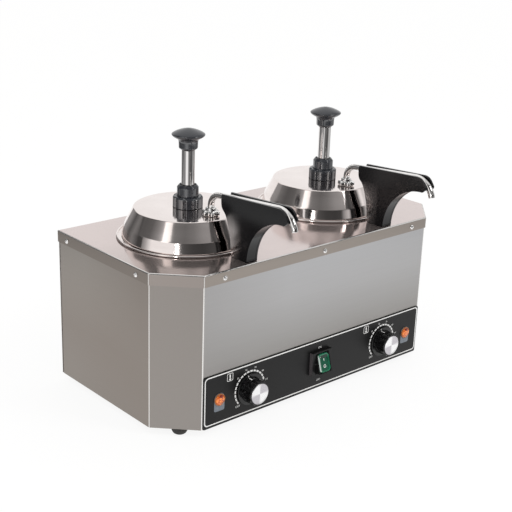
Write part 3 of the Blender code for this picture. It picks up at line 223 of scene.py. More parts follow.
def round_the_set(wire, stops):
    """Brightness by direction from the middle of the set, from stops in degrees. The front
    is zero, and the ramp has it at one half."""
    x, y, _ = wire.places().split()
    turn = wire.math("ARCTAN2", x, y * -1) / math.tau + 0.5
    return turn.ramp(*(((degrees + 180) / 360, shade) for degrees, shade in stops))


def stage_sheet(name, points, faces, shade):
    """A sheet of the studio. shade(wire) gives the shader that it wears."""
    mesh = bpy.data.meshes.new(name)
    mesh.from_pydata(points, [], faces)
    sheet = linked(name, mesh)
    made = bpy.data.materials.new(name)
    made.use_nodes = True
    made.node_tree.nodes.clear()
    wire = Wire(made.node_tree)
    wire.node("OutputMaterial", inputs={"Surface": shade(wire)})
    mesh.materials.append(made)
    return sheet


def shade_sweep(wire):
    """White paper. Mirrors see it darker away from the object, by the direction."""
    paper = wire.places().noise(3.0).ramp((0.0, 0.95), (1.0, 0.97))
    shaded = wire.node("BsdfDiffuse", inputs={"Color": paper})
    away = wire.places().length().ramp((0.85, 0.0), (0.97, 1.0))
    mirrored = wire.node("LightPath", output="Is Glossy Ray") * away
    shade = round_the_set(wire, (
        (-176, 1.0), (-152, 0.85), (-134, 0.55), (-122, 0.24), (-100, 0.22), (-86, 0.34),
        (-75, 0.80), (-68, 1.0), (-54, 1.0), (-44, 0.52), (-36, 0.28), (-27, 0.14), (-8, 0.13),
        (6, 0.16), (18, 0.05), (29, 0.07), (42, 0.36), (60, 0.56), (78, 0.50), (98, 0.36),
        (116, 0.5), (134, 1.0),
    ))
    glow = {"Color": mirrored.mix((1, 1, 1), shade), "Strength": SWEEP_GLOW}
    white = wire.node("Emission", inputs=glow)
    share = (seen_rays(wire) * SWEEP_OWN_SHARE).most(mirrored)
    return wire.node("MixShader", inputs={0: share, 1: shaded, 2: white})


def hang_lamp(name, place, size, power, colour=(1, 1, 1)):
    data = bpy.data.lights.new(name, "AREA")
    data.shape = "RECTANGLE"
    data.size, data.size_y = size
    data.energy = power
    data.color = colour
    lamp = linked(name, data)
    lamp.location = place
    lamp.visible_camera = False
    aim = Vector((0, 0, 0.2)) - Vector(place)
    lamp.rotation_mode = "QUATERNION"
    lamp.rotation_quaternion = aim.to_track_quat("-Z", "Y")


def hang_card(name, points, faces, brightness):
    """A card that only mirrors see. brightness(wire) gives its brightness from place to place."""
    def glow(wire):
        return wire.node("Emission", inputs={"Color": brightness(wire), "Strength": 1.0})

    card = stage_sheet(name, points, faces, glow)
    for rays in ("camera", "diffuse", "shadow", "transmission"):
        setattr(card, f"visible_{rays}", False)


def raise_wall(name, low, high, *stops):
    """A ring of card between two angles above the level, in degrees."""
    points = []
    for height in (low, high):
        climb = math.radians(height)
        for i in range(WALL_STEPS):
            turn = math.tau * i / WALL_STEPS
            points.append((
                WALL_AWAY * math.sin(turn) * math.cos(climb),
                -WALL_AWAY * math.cos(turn) * math.cos(climb),
                WALL_MIDDLE + WALL_AWAY * math.sin(climb),
            ))
    around = [(i, (i + 1) % WALL_STEPS) for i in range(WALL_STEPS)]
    faces = [(i, j, WALL_STEPS + j, WALL_STEPS + i) for i, j in around]
    hang_card(name, points, faces, lambda wire: round_the_set(wire, stops))


def hang_close_card(name, depth, corners, *stops):
    """A flat card close to the set, this far back. Its corners are given across and up, and
    its stops by half of the distance across, with the middle at one half."""
    def across(wire):
        x, _, _ = wire.places().split()
        return (x * 0.5 + 0.5).ramp(*stops)

    hang_card(name, [(x, depth, z) for x, z in corners], [(0, 1, 2, 3)], across)


light_world()
stage_sheet("floor", [
    (x * SWEEP_REACH, y * SWEEP_REACH, 0) for x, y in ((-1, -1), (1, -1), (1, 1), (-1, 1))
], [(0, 1, 2, 3)], shade_sweep)
hang_lamp("key_lamp", (0.64, -1.43, 1.63), (0.64, 0.64), 7.5)
hang_lamp("side_lamp", (-1.89, -0.33, 1.36), (0.50, 1.20), 1.4, (1.0, 0.97, 0.94))
hang_lamp("glint_lamp", (-1.68, -1.05, 0.48), (0.12, 0.45), 2.2)
raise_wall(
    "high_wall", 58, 84,
    (-127, 1.0), (-118, 0.68), (-95, 0.80), (-62, 0.72), (-40, 0.50), (-20, 0.50), (8, 0.62),
    (30, 0.35), (55, 0.75), (90, 0.9), (130, 1.0),
)
left_behind = (-165, 1.0), (-159, 0.80), (-154, 0.20), (-130, 0.10), (-112, 0.13), (-99, 0.26)
right_behind = (74, 0.95), (88, 0.34), (108, 0.9), (118, 1.0)
raise_wall(
    "middle_wall", 41, 58,
    *left_behind, (-90, 0.60), (-85, 0.85), (-78, 0.60), (-70, 0.25), (-60, 0.10), (-46, 0.06),
    (-10, 0.07), (20, 0.05), (48, 0.08), (56, 0.95), *right_behind,
)
raise_wall(
    "upper_wall", 18, 41,
    *left_behind, (-91, 0.42), (-85, 0.80), (-79, 0.62), (-73, 0.40), (-67, 0.20), (-46, 0.16),
    (-28, 0.20), (-10, 0.29), (8, 0.33), (16, 0.28), (22, 0.06), (45, 0.05), (52, 0.95),
    (57, 0.95), (63, 0.60), *right_behind,
)
raise_wall(
    "lower_wall", -4, 18,
    (-167, 1.0), (-161, 0.30), (-155, 0.09), (-140, 0.06), (-124, 0.14), (-113, 0.45), (-102, 1.0),
    (-66, 1.0), (-56, 0.80), (-51, 0.09), (-32, 0.055), (-14, 0.05), (4, 0.07), (24, 0.06),
    (46, 0.04), (58, 0.7), (76, 0.8), (92, 0.3), (112, 0.9), (120, 1.0),
)
hang_close_card(
    "rear_card", 0.53, [(-1.0, 0.10), (-0.13, 0.10), (-0.03, 0.44), (-1.0, 0.44)],
    (0.13, 0.06), (0.26, 0.20), (0.33, 0.09), (0.40, 0.28), (0.47, 0.30),
)
hang_close_card(
    "front_card", -0.55, [(0.05, 0.26), (0.26, 0.26), (0.26, 0.37), (0.05, 0.37)],
    (0.525, 0.05), (0.55, 0.30), (0.60, 0.60), (0.63, 0.05),
)


# Cabinet: a wrap of brushed stainless sheet with two cut-off front corners, under a deck
# folded from the same sheet, with a skirt. The grain runs along each wall and along the deck.
# A third sheet closes the back. The base plate and the wells keep their rolled finish.
COVER_LOW, COVER_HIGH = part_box("top_cover")
STEEL = {"Metallic": 1.0, "IOR": 2.5}
# Painted reflection: these tones stand in for what the steel mirrors. Each face of the wrap and
# skirt has its own tone, the front is painted lighter towards the top and the left, the sides are
# paler at the top back, the folds are painted highlights, and the deck has painted shade at its
# front left.
SIDE_WARM_PAINTED_REFLECTION = (0.278, 0.243, 0.216)
SIDE_COOL_PAINTED_REFLECTION = (0.300, 0.274, 0.250)
SIDE_PALE_PAINTED_LIGHT = (0.335, 0.308, 0.282)
CORNER_WARM_PAINTED_REFLECTION = (0.326, 0.300, 0.280)
FRONT_HIGH_PAINTED_REFLECTION = (0.560, 0.560, 0.570)
FRONT_LOW_PAINTED_REFLECTION = (0.330, 0.317, 0.302)
FRONT_LEFT_PAINTED_REFLECTION = (0.370, 0.355, 0.345)
WALL_SCRATCH = (0.160, 0.150, 0.140)
SKIRT_SIDE_PAINTED_REFLECTION = (0.238, 0.208, 0.184)
SKIRT_FRONT_PAINTED_REFLECTION = (0.385, 0.342, 0.308)
SKIRT_CORNER_PAINTED_REFLECTION = (0.355, 0.315, 0.292)
DECK_PALE = (0.672, 0.575, 0.555)
DECK_SMUDGE = (0.620, 0.530, 0.510)
DECK_PAINTED_SHADE = (0.500, 0.440, 0.420)
DECK_SCRATCH = (0.200, 0.185, 0.170)
FOLD_PAINTED_HIGHLIGHT = (0.930, 0.910, 0.890)
SHEET_SHARP = 24
SOLID_SHARP = 32


def grain(wire, along, fine=1400.0):
    """Straight brushed lines along one axis, from 0 to 1."""
    scales = [fine, fine, fine]
    scales["XYZ".index(along)] = 9.0
    return wire.places().stretched(*scales).noise(1.0, 3.0, 0.65)


def sheet_faces(wire):
    """Masks, from 0 to 1: facing along X, Y and Z, on a cut corner, and on a fold."""
    x, y, z = (abs(part) for part in wire.facing())
    flats = [part.ramp((0.93, 0.0), (0.985, 1.0)) for part in (x, y, z)]
    corner = (x * y * 2).ramp((0.86, 0.0), (0.955, 1.0))
    fold = 1 - flats[0].most(flats[1]).most(flats[2].most(corner))
    return (*flats, corner, fold)


def brushed(wire, turned_to, first, second, base, share, scratch):
    """Brushed lines along one axis, or along the second where the mask says, and the base
    colour with them in it."""
    lines = wire.node("Mix", inputs={0: turned_to, 2: grain(wire, first), 3: grain(wire, second)})
    return lines, (lines.ramp((0.35, 0.0), (0.65, 1.0)) * share).mix(base, scratch)


def paint_wrap(wire):
    """Painted reflection: the front is cool and painted brighter at the top and towards the left,
    the sides are warm and paler at the top back, and the cut corners are warm.
    """
    _, along, _, corner, fold = sheet_faces(wire)
    x, y, z = wire.places().split()
    # Painted reflection: the front is painted lighter towards the top and towards the left.
    climb = z.ramp((0.075, 0.0), (0.155, 0.72), (0.2, 1.0))
    front = climb.mix(FRONT_LOW_PAINTED_REFLECTION, FRONT_HIGH_PAINTED_REFLECTION)
    leftward_painted_light = (x * 2 + 0.5).ramp((0.12, 1.0), (0.38, 0.0))
    front = (leftward_painted_light * 0.45).mix(front, FRONT_LEFT_PAINTED_REFLECTION)
    haze = wire.places().stretched(3, 3, 5).noise(1.0, 2.0).ramp((0.3, 0.0), (0.7, 1.0))
    side = (haze * 0.5).mix(SIDE_WARM_PAINTED_REFLECTION, SIDE_COOL_PAINTED_REFLECTION)
    # Painted light: the sides are painted paler towards the top at the back.
    rear_top_painted_light = z.ramp((0.09, 0.0), (0.20, 1.0)) * (y * 2 + 0.5).ramp((0.45, 0.0), (0.70, 1.0))
    side = rear_top_painted_light.mix(side, SIDE_PALE_PAINTED_LIGHT)
    base = corner.mix(along.mix(side, front), CORNER_WARM_PAINTED_REFLECTION)
    lines, base = brushed(wire, along, "Y", "X", base, 0.04, WALL_SCRATCH)
    return {
        # Painted highlight: the folds of the wrap are painted near white.
        "Base Color": fold.mix(base, FOLD_PAINTED_HIGHLIGHT),
        "Roughness": lines * 0.06 + 0.32 - fold * 0.15,
        "Normal": lines.bump(0.05, 0.0001),
    }


def paint_cover(wire):
    """The deck is bright, with painted shade towards its front left, and its skirt is as warm as
    the sides, in painted reflection tones that differ from face to face; the folds are painted
    highlights.
    """
    across, along, up, corner, fold = sheet_faces(wire)
    x, y, _ = wire.places().split()
    smudges = wire.places().stretched(4, 10, 1).noise(1.0, 3.0).ramp((0.35, 0.0), (0.70, 1.0))
    plate = (smudges * 0.5).mix(DECK_PALE, DECK_SMUDGE)
    # Painted shade: the deck is painted darker towards its front left.
    leftward_painted_light = (x * 2 + 0.5).ramp((0.06, 1.0), (0.36, 0.0))
    rearward_painted_shade = (y * 2 + 0.5).ramp((0.44, 1.0), (0.66, 0.0))
    plate = (leftward_painted_light * rearward_painted_shade).mix(plate, DECK_PAINTED_SHADE)
    # Painted reflection: the skirt's sides, front and cut corners each get their own tone.
    skirt = corner.mix(along.mix(SKIRT_SIDE_PAINTED_REFLECTION, SKIRT_FRONT_PAINTED_REFLECTION), SKIRT_CORNER_PAINTED_REFLECTION)
    base = up.mix(skirt, plate)
    lines, base = brushed(wire, across, "X", "Y", base, 0.06, DECK_SCRATCH)
    return {
        # Painted highlight: the folds of the deck cover are painted near white.
        "Base Color": (fold * 0.8).mix(base, FOLD_PAINTED_HIGHLIGHT),
        "Metallic": 1.0 - up * 0.16,
        "Roughness": 0.30 - up * 0.21 + lines * 0.04 - fold * 0.1,
        "Normal": lines.bump(0.15, 0.0001),
    }


def paint_inner(wire):
    lines = grain(wire, "X", 900.0)
    return {
        "Base Color": lines.ramp((0.25, (0.30, 0.285, 0.265)), (0.75, (0.42, 0.40, 0.375))),
        "Roughness": lines * 0.15 + 0.30,
        "Normal": lines.bump(0.3, 0.0002),
    }


def both(node):
    """The names of the left and the right one."""
    return [f"{node}_{side}" for side in SIDES]


def dress(material, *nodes):
    """CAD nodes whose shapes are right get this finish."""
    for node in nodes:
        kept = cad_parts[node]
        kept.data.materials.clear()
        kept.data.materials.append(material)


def finished(name, mesh, material, body, stands_for=(), place=None, sharp=SOLID_SHARP):
    """A piece that is smooth where it is round, riding on a body, in place of its CAD nodes."""
    mesh.shade_smooth()
    mesh.set_sharp_from_angle(angle=math.radians(sharp))
    mesh.materials.clear()
    mesh.materials.append(material)
    piece = linked(name, mesh)
    if place is not None:
        piece.matrix_world = place
    even = piece.modifiers.new("even", "WEIGHTED_NORMAL")
    even.keep_sharp = True
    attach(piece, body)
    if stands_for:
        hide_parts(*stands_for)
    return piece


def mesh_of(work):
    """The mesh of a working shape, which ends with it."""
    mesh = bpy.data.meshes.new("shape")
    work.to_mesh(mesh)
    work.free()
    return mesh


def eased_edges(work, edges, offset, segments):
    bmesh.ops.bevel(
        work, geom=edges, offset=offset, segments=segments, profile=0.5, affect="EDGES",
        clamp_overlap=True,
    )


def eased_sheet(name, node, material, ease=0.0, body="root", reshape=None):
    """A folded or moulded part in the node's own shape, with whole faces and eased edges."""
    work = bmesh.new()
    work.from_mesh(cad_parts[node].data)
    bmesh.ops.remove_doubles(work, verts=work.verts, dist=1e-6)
    if reshape:
        for vert in work.verts:
            vert.co = reshape(vert.co)
    else:
        flat = math.radians(0.5)
        bmesh.ops.dissolve_limit(work, angle_limit=flat, verts=work.verts, edges=work.edges)
    if ease:
        corner = math.radians(50)
        edges = [e for e in work.edges if len(e.link_faces) == 2 and e.calc_face_angle(0) > corner]
        eased_edges(work, edges, ease, 2)
    finished(name, mesh_of(work), material, body, [node], sharp=SHEET_SHARP)


wrap_steel = surface("brushed_wrap", STEEL, paint_wrap)
cover_steel = surface("brushed_cover", {"IOR": 2.5}, paint_cover)
inner_steel = surface("mill_steel", STEEL, paint_inner)
eased_sheet("steel_wrap", "cabinet_body", wrap_steel)
eased_sheet("deck_cover", "top_cover", cover_steel)
eased_sheet("back_sheet", "rear_panel", wrap_steel)
dress(inner_steel, "base_plate", *both("well"))


# Skirt screws: small stainless pan heads, which hold the deck's skirt to the wrap. The heads
# are turned, the cross is cut in, and each screw stopped at its own angle.
SCREW_HEIGHT = 207.7 * MM
SCREW_SPIN = 17
FRONT_SCREWS = (-170, 0, 172)
SIDE_SCREWS = (102.5, -52.7)
CROSS_LONG, CROSS_WIDE, CROSS_DEEP = 3.4, 0.62, 1.8
CROSS_Z = 1.6


def eased(points, steps=4):
    """An outline in millimetres; a third number rounds that corner."""
    made = []
    for i, point in enumerate(points):
        corner = Vector(point[:2])
        if len(point) < 3:
            made.append(corner)
            continue
        before = Vector(points[i - 1][:2])
        after = Vector(points[(i + 1) % len(points)][:2])
        start = corner + (before - corner).normalized() * point[2]
        end = corner + (after - corner).normalized() * point[2]
        for step in range(steps + 1):
            share = step / steps
            made.append(start.lerp(corner, share).lerp(corner.lerp(end, share), share))
    return made


def skinned(rings, closed=False):
    """A mesh over rings of points. A ring of one point closes an end."""
    work = bmesh.new()
    rows = [[work.verts.new(point) for point in ring] for ring in rings]
    pairs = list(zip(rows, rows[1:]))
    if closed:
        pairs.append((rows[-1], rows[0]))
    for first, second in pairs:
        count = max(len(first), len(second))
        for i in range(count):
            j = (i + 1) % count
            here, there = i % len(second), j % len(second)
            corners = [first[i % len(first)], first[j % len(first)], second[there], second[here]]
            unique = list(dict.fromkeys(corners))
            if len(unique) > 2:
                work.faces.new(unique)
    bmesh.ops.recalc_face_normals(work, faces=work.faces)
    return mesh_of(work)


def turned(outline, steps=96, closed=False, waves=None):
    """An outline of (radius, height) in millimetres, turned round Z."""
    rings = []
    for radius, height in outline:
        if radius <= 0:
            rings.append([Vector((0, 0, height * MM))])
            continue
        ring = []
        for i in range(steps):
            angle = math.tau * i / steps
            reach = radius + (waves(angle, radius, height) if waves else 0)
            ring.append(Vector((reach * math.cos(angle), reach * math.sin(angle), height)) * MM)
        rings.append(ring)
    return skinned(rings, closed)


def add_block(work, size, place, turn=Matrix.Identity(4)):
    """A block of this size, in millimetres, added to a working shape."""
    scale = Matrix.Diagonal((*(value * MM for value in size), 1))
    matrix = turn @ Matrix.Translation(Vector(place) * MM) @ scale
    bmesh.ops.create_cube(work, size=1, matrix=matrix)


def final_mesh(shape):
    """The mesh of an object as its modifiers leave it."""
    return bpy.data.meshes.new_from_object(
        shape.evaluated_get(bpy.context.evaluated_depsgraph_get()))


def screw_mesh():
    """A pan head with its cross cut in, pointing up local Z."""
    head = eased([(0, 1.5), (2.3, 1.35, 0.6), (3.3, 0.5, 0.5), (3.3, 0)])
    shape = linked("head", turned(head, 40))
    cross = bmesh.new()
    for x, y in ((CROSS_LONG, CROSS_WIDE), (CROSS_WIDE, CROSS_LONG)):
        add_block(cross, (x, y, CROSS_DEEP), (0, 0, CROSS_Z))
    tool = linked("cross", mesh_of(cross))
    drive = shape.modifiers.new("drive", "BOOLEAN")
    drive.object = tool
    drive.operation = "DIFFERENCE"
    drive.solver = "EXACT"
    drive.use_self = True
    made = final_mesh(shape)
    bpy.data.objects.remove(shape)
    bpy.data.objects.remove(tool)
    return made


def paint_screw(wire):
    spun = wire.places().length().tracks(9000, 1.0)
    return {
        "Base Color": spun.ramp((0.3, (0.86, 0.85, 0.84)), (0.7, (0.97, 0.96, 0.95))),
        "Roughness": spun * 0.1 + 0.16,
        "Normal": spun.bump(0.2, 0.00005),
    }


screw_steel = surface("screw_steel", STEEL, paint_screw)
screw_head = screw_mesh()
cover_middle = (COVER_LOW.y + COVER_HIGH.y) / 2
screws = []
for i, x in enumerate(FRONT_SCREWS):
    screws.append((f"front_{i + 1}", (x * MM, COVER_LOW.y), (90, "X")))
    screws.append((f"rear_{i + 1}", (x * MM, COVER_HIGH.y), (-90, "X")))
for i, y in enumerate(SIDE_SCREWS):
    screws.append((f"left_{i + 1}", (COVER_LOW.x, cover_middle + y * MM), (-90, "Y")))
    screws.append((f"right_{i + 1}", (COVER_HIGH.x, cover_middle + y * MM), (90, "Y")))
for i, (name, place, (degrees, axis)) in enumerate(screws):
    at = Matrix.Translation((*place, SCREW_HEIGHT)) @ turn_by(degrees, axis)
    at = at @ turn_by(SCREW_SPIN * i, "Z")
    finished(f"skirt_screw_{name}", screw_head.copy(), screw_steel, "root", place=at)


# Feet: four soft black rubber feet, moulded with a round bowl shape and screwed up into the
# base. The bushing of the mains inlet at the back is of the same rubber.
def middle(node):
    """The middle of a CAD node's box."""
    return [(low + high) / 2 for low, high in zip(*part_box(node))]


def upright_at(node):
    """On the ground plane, below the middle of a CAD node."""
    return Matrix.Translation((*middle(node)[:2], 0))


def paint_rubber(wire):
    specks = wire.places().noise(900.0, 2.0)
    dust = wire.places().noise(60.0, 3.0)
    return {
        "Base Color": dust.ramp((0.35, (0.022, 0.021, 0.020)), (0.75, (0.052, 0.049, 0.046))),
        "Roughness": specks * 0.2 + 0.62,
        "Normal": specks.bump(0.35, 0.0002),
    }


rubber = surface("foot_rubber", {"Metallic": 0.0}, paint_rubber)
foot_mesh = turned(eased([
    (0, 9.7), (11.2, 9.7, 0.8), (10.5, 5.2, 2.0), (8.6, 1.5, 1.4), (6.0, 0, 0.7), (0, 0),
]), 64)
for node in (*both("foot_front"), *both("foot_rear")):
    at = upright_at(node)
    finished(f"rubber_{node}", foot_mesh.copy(), rubber, "root", [node], at)
dress(rubber, "cable_bushing")


# Control panel: a charcoal overlay on a thin plate, with white printed lines, dial marks and
# numbers. It is set into the front wall, and the knobs, lamps and switch come through it.
PANEL_LOW, PANEL_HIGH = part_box("control_panel")
PANEL_FACE = PANEL_LOW.y
PRINT_PROUD = 0.00006
TAG_PROUD = 0.00008
PLASTIC = {"Metallic": 0.0}
DARK_PLASTIC = {"Metallic": 0.0, "Specular IOR Level": 0.25}
DASHES = 16
DASH_SHARE = 0.74
DASH_RADIUS = 24.5
DASH_WIDTH = 2.2
DIAL_START, DIAL_END = 220, 12
DIAL_WORDS = (
    ("30", 3.3, 28.8, 136), ("50", 3.3, 28.8, 104), ("70", 3.3, 28.8, 73), ("90", 3.3, 28.8, 42),
    ("110", 3.3, 28.8, 10), ("OFF", 4.3, 28.0, 225),
)
BORDER_OUTER, BORDER_INNER = (398.4, 67.4, 5.6), (395.2, 64.2, 4.1)
BORDER_RISE = 1.4
SIGN_LEFT, SIGN_UP = 33.7, 26.0
SWITCH_WORDS = (("ON", 4.0, 0, 69.8), ("OFF", 4.0, 0, 21.6))
CORNER_STEPS = 10


def arc(centre, radius, start, end, steps):
    """Points round a centre, from one angle to another in degrees."""
    angles = [math.radians(start + (end - start) * i / steps) for i in range(steps + 1)]
    return [(centre[0] + radius * math.cos(a), centre[1] + radius * math.sin(a)) for a in angles]


def ring_outline(width, height, radius, x=0.0, z=0.0, steps=8):
    """A rounded rectangle, in millimetres, round (x, z)."""
    made = []
    for sign_x, sign_z, start in ((1, 1, 0), (-1, 1, 90), (-1, -1, 180), (1, -1, 270)):
        centre = (x + sign_x * (width / 2 - radius), z + sign_z * (height / 2 - radius))
        made += arc(centre, radius, start, start + 90, steps)
    return made


def on_panel(outline):
    return [Vector((x, 0, z)) * MM for x, z in outline]


def band(outer, inner):
    """A flat strip between two closed outlines with as many points, on the panel."""
    return skinned([on_panel(outer), on_panel(inner)])


def patch(outline):
    """A flat shape on the panel, inside a closed outline."""
    x, z = (sum(values) / len(outline) for values in zip(*outline))
    return skinned([on_panel(outline), on_panel([(x, z)])])


def joined(meshes):
    work = bmesh.new()
    for mesh in meshes:
        work.from_mesh(mesh)
    return mesh_of(work)


def shifted(mesh, matrix):
    mesh.transform(matrix)
    return mesh


def lettering(text, size, x, z):
    """Plain characters, upright on the panel, centred on (x, z) in millimetres."""
    curve = bpy.data.curves.new("characters", "FONT")
    curve.body = text
    curve.size = size * MM
    curve.align_x = "CENTER"
    curve.align_y = "CENTER"
    curve.resolution_u = 3
    shape = linked("characters", curve)
    made = final_mesh(shape)
    bpy.data.objects.remove(shape)
    return shifted(made, Matrix.Translation((x * MM, 0, z * MM)) @ turn_by(90, "X"))


def dial_marks(x, z):
    """A ring of dashes round a dial, with its numbers outside."""
    made = []
    pitch = (DIAL_START - DIAL_END) / DASHES
    outer, inner = DASH_RADIUS + DASH_WIDTH / 2, DASH_RADIUS - DASH_WIDTH / 2
    for i in range(DASHES):
        start = DIAL_START - pitch * i
        end = start - pitch * DASH_SHARE
        made.append(patch(arc((x, z), outer, end, start, 4) + arc((x, z), inner, start, end, 4)))
    for text, size, reach, degrees in DIAL_WORDS:
        turn = math.radians(degrees)
        made.append(lettering(text, size, x + reach * math.cos(turn), z + reach * math.sin(turn)))
    return made


def thermometer(x, z):
    """A small thermometer sign in a rounded frame."""
    edge = band(ring_outline(9.8, 10.8, 1.6, x, z), ring_outline(8.4, 9.4, 0.9, x, z))
    stem = patch(ring_outline(2.0, 5.8, 0.9, x, z + 0.8))
    bulb = [(x + 1.6 * math.cos(a * 0.26), z - 2.7 + 1.6 * math.sin(a * 0.26)) for a in range(24)]
    return [edge, stem, patch(bulb)]


def lamp_tag(x, z):
    """A tag with a round head behind the lamp and a square foot below it."""
    head = ring_outline(16.8, 24.4, 7.4, x, z - 3.8, CORNER_STEPS)
    foot = ring_outline(16.8, 14.0, 2.6, x, z - 9.0, CORNER_STEPS)
    upper = 2 * (CORNER_STEPS + 1)
    return patch(head[:upper] + foot[upper:])


def mottled(scale, detail, dark, light, rough, swing, relief=None):
    """A paint whose one noise takes the colour from dark to light, and changes the gloss by
    swing. relief is the strength and depth of its bumps."""
    def paint(wire):
        skin = wire.places().noise(scale, detail)
        painted = {"Base Color": skin.ramp((0.3, dark), (0.7, light))}
        painted["Roughness"] = skin * swing + rough
        if relief:
            painted["Normal"] = skin.bump(*relief)
        return painted

    return paint


def paint_panel(wire):
    fine = wire.places().noise(1600.0, 2.0)
    broad = wire.places().stretched(3, 3, 6).noise(1.0, 2.0)
    return {
        "Base Color": broad.ramp((0.3, (0.0074, 0.0075, 0.0079)), (0.7, (0.0104, 0.0103, 0.0105))),
        "Roughness": fine * 0.12 + 0.34,
        "Normal": fine.bump(0.10, 0.0001),
    }


panel_skin = surface("panel_charcoal", DARK_PLASTIC, paint_panel)
white_print = surface("white_print", PLASTIC, mottled(
    500.0, 2.0, (0.86, 0.86, 0.85), (0.95, 0.95, 0.94), 0.4, 0.1))
tag_print = surface("tag_blue_grey", PLASTIC, mottled(
    300.0, 2.0, (0.165, 0.190, 0.225), (0.215, 0.240, 0.275), 0.42, 0.1))
eased_sheet("panel_plate", "control_panel", panel_skin, 0.0003)
border_z = (PANEL_LOW.z + PANEL_HIGH.z) / 2 / MM + BORDER_RISE
border = [ring_outline(*edge, 0, border_z) for edge in (BORDER_OUTER, BORDER_INNER)]
prints = [band(*border)]
for knob in both("temperature_knob"):
    x, _, z = (value / MM for value in middle(knob))
    prints += [*dial_marks(x, z), *thermometer(x - SIGN_LEFT, z + SIGN_UP)]
prints += [lettering(*word) for word in SWITCH_WORDS]
proud = Matrix.Translation((0, PANEL_FACE - PRINT_PROUD, 0))
finished("panel_print", joined(prints), white_print, "root", place=proud)
proud = Matrix.Translation((0, PANEL_FACE - TAG_PROUD, 0))
for side, lamp in zip(SIDES, both("lamp_lens")):
    x, _, z = (value / MM for value in middle(lamp))
    finished(f"lamp_tag_{side}", lamp_tag(x, z), tag_print, "root", place=proud)


# Pilot lamps: an amber cap with small facets, clear enough that the light behind it glows
# through. It sits in a thin moulded rim that snaps into the panel.
def out_of_panel(node):
    """On the panel's face, at the middle of a CAD node, with local Z pointing out of it."""
    x, _, z = middle(node)
    return Matrix.Translation((x, PANEL_FACE, z)) @ turn_by(90, "X")


def in_each_unit(name, mesh, material, body, places, node="", sharp=SOLID_SHARP):
    """The piece in the left unit and in the right, at its place in each."""
    made = []
    for side, at in zip(SIDES, places):
        rides = body if body == "root" else f"{body}_{side}"
        nodes = [f"{node}_{side}"] if node else ()
        piece = finished(f"{name}_{side}", mesh.copy(), material, rides, nodes, at, sharp)
        made.append(piece)
    return made


def paint_amber(wire):
    cells_of = {"Vector": wire.places(), "Scale": 420.0}
    cells = wire.node("TexVoronoi", {"feature": "F1"}, cells_of, "Distance")
    spots = wire.places().noise(190.0, 1.0)
    base = cells.ramp((0.10, (0.98, 0.42, 0.08)), (0.40, (0.84, 0.19, 0.015)),
                      (0.70, (0.42, 0.045, 0.004)))
    dark = spots.ramp((0.53, 0.0), (0.60, 1.0))
    return {
        "Base Color": dark.mix(base, (0.22, 0.018, 0.003)),
        "Emission Color": (1.0 - dark).mix((0.05, 0.0, 0.0), (0.95, 0.26, 0.02)),
        "Roughness": spots * 0.1 + 0.12,
        "Normal": cells.bump(0.5, 0.0006),
    }


AMBER = {"Metallic": 0.0, "Emission Strength": 0.22, "Coat Weight": 0.6, "Coat Roughness": 0.06}
amber = surface("lamp_amber", AMBER, paint_amber)
amber_rim = surface("lamp_rim", PLASTIC, mottled(
    240.0, 2.0, (0.42, 0.135, 0.03), (0.62, 0.22, 0.06), 0.22, 0.1))
lens_mesh = turned(eased([
    (0, 3.6), (2.4, 3.5), (4.8, 3.1), (6.3, 2.5), (7.0, 1.7, 0.5), (7.0, 1.2), (0, 1.2),
]), 12)
rim_mesh = turned(eased([
    (0, 1.0), (7.2, 1.0), (7.2, 1.9, 0.2), (8.0, 1.9, 0.5), (8.0, 0.2), (6.0, 0.2), (6.0, -24),
    (0, -24),
]), 64)
at = [out_of_panel(lamp) for lamp in both("lamp_lens")]
in_each_unit("pilot_lens", lens_mesh, amber, "root", at, "lamp_lens", 12)
in_each_unit("pilot_rim", rim_mesh, amber_rim, "root", at, "indicator_lamp")


# Dials: a fluted black moulding on the thermostat's shaft, with a wide skirt that carries a
# white pointer, and a spun aluminium disc set in its face.
FLUTES = 12
FLUTED_FROM, FLUTED_TO = 15.2, 18
SKIRT_TOP = 2.6
FACE_EDGE = 18
POINTER_ANGLE = 104
POINTER_WIDE = 1.1


def flute(angle, radius, height):
    """How far a hollow cuts in at this angle, in millimetres."""
    if not FLUTED_FROM <= radius <= FLUTED_TO or height < SKIRT_TOP:
        return 0
    wave = math.cos(FLUTES * (angle + math.pi / FLUTES))
    depth = 1.7 if height < FACE_EDGE else 1.2
    return -depth * max(0.0, wave) ** 1.5


def pointer_mesh():
    """A raised white line on the skirt and up the side of the dial."""
    work = bmesh.new()
    turn = turn_by(POINTER_ANGLE, "Z")
    add_block(work, (3.0, POINTER_WIDE, 0.16), (19.6, 0, 2.62), turn)
    add_block(work, (0.30, POINTER_WIDE, 6.0), (17.25, 0, 6.0), turn)
    return mesh_of(work)


def paint_cap(wire):
    """Fine turned rings, and broad light and dark sectors painted in the base colour as a sheen."""
    x, y, _ = wire.places().split()
    rings = wire.places().stretched(1, 1, 0).length().tracks(7000, 2.0)
    # Painted sheen: two light and two dark sectors round the disc.
    sweep = 0.5 - wire.math("SINE", wire.math("ARCTAN2", y, x) * 2) * 0.5
    painted_sheen = sweep.ramp((0.30, (0.60, 0.58, 0.61)), (0.55, (0.86, 0.85, 0.86)),
                       (0.70, (0.99, 0.99, 0.99)))
    return {
        "Base Color": (rings * 0.10).mix(painted_sheen, (0.50, 0.50, 0.51)),
        "Roughness": rings * 0.12 + 0.22,
        "Normal": rings.bump(0.25, 0.00006),
    }


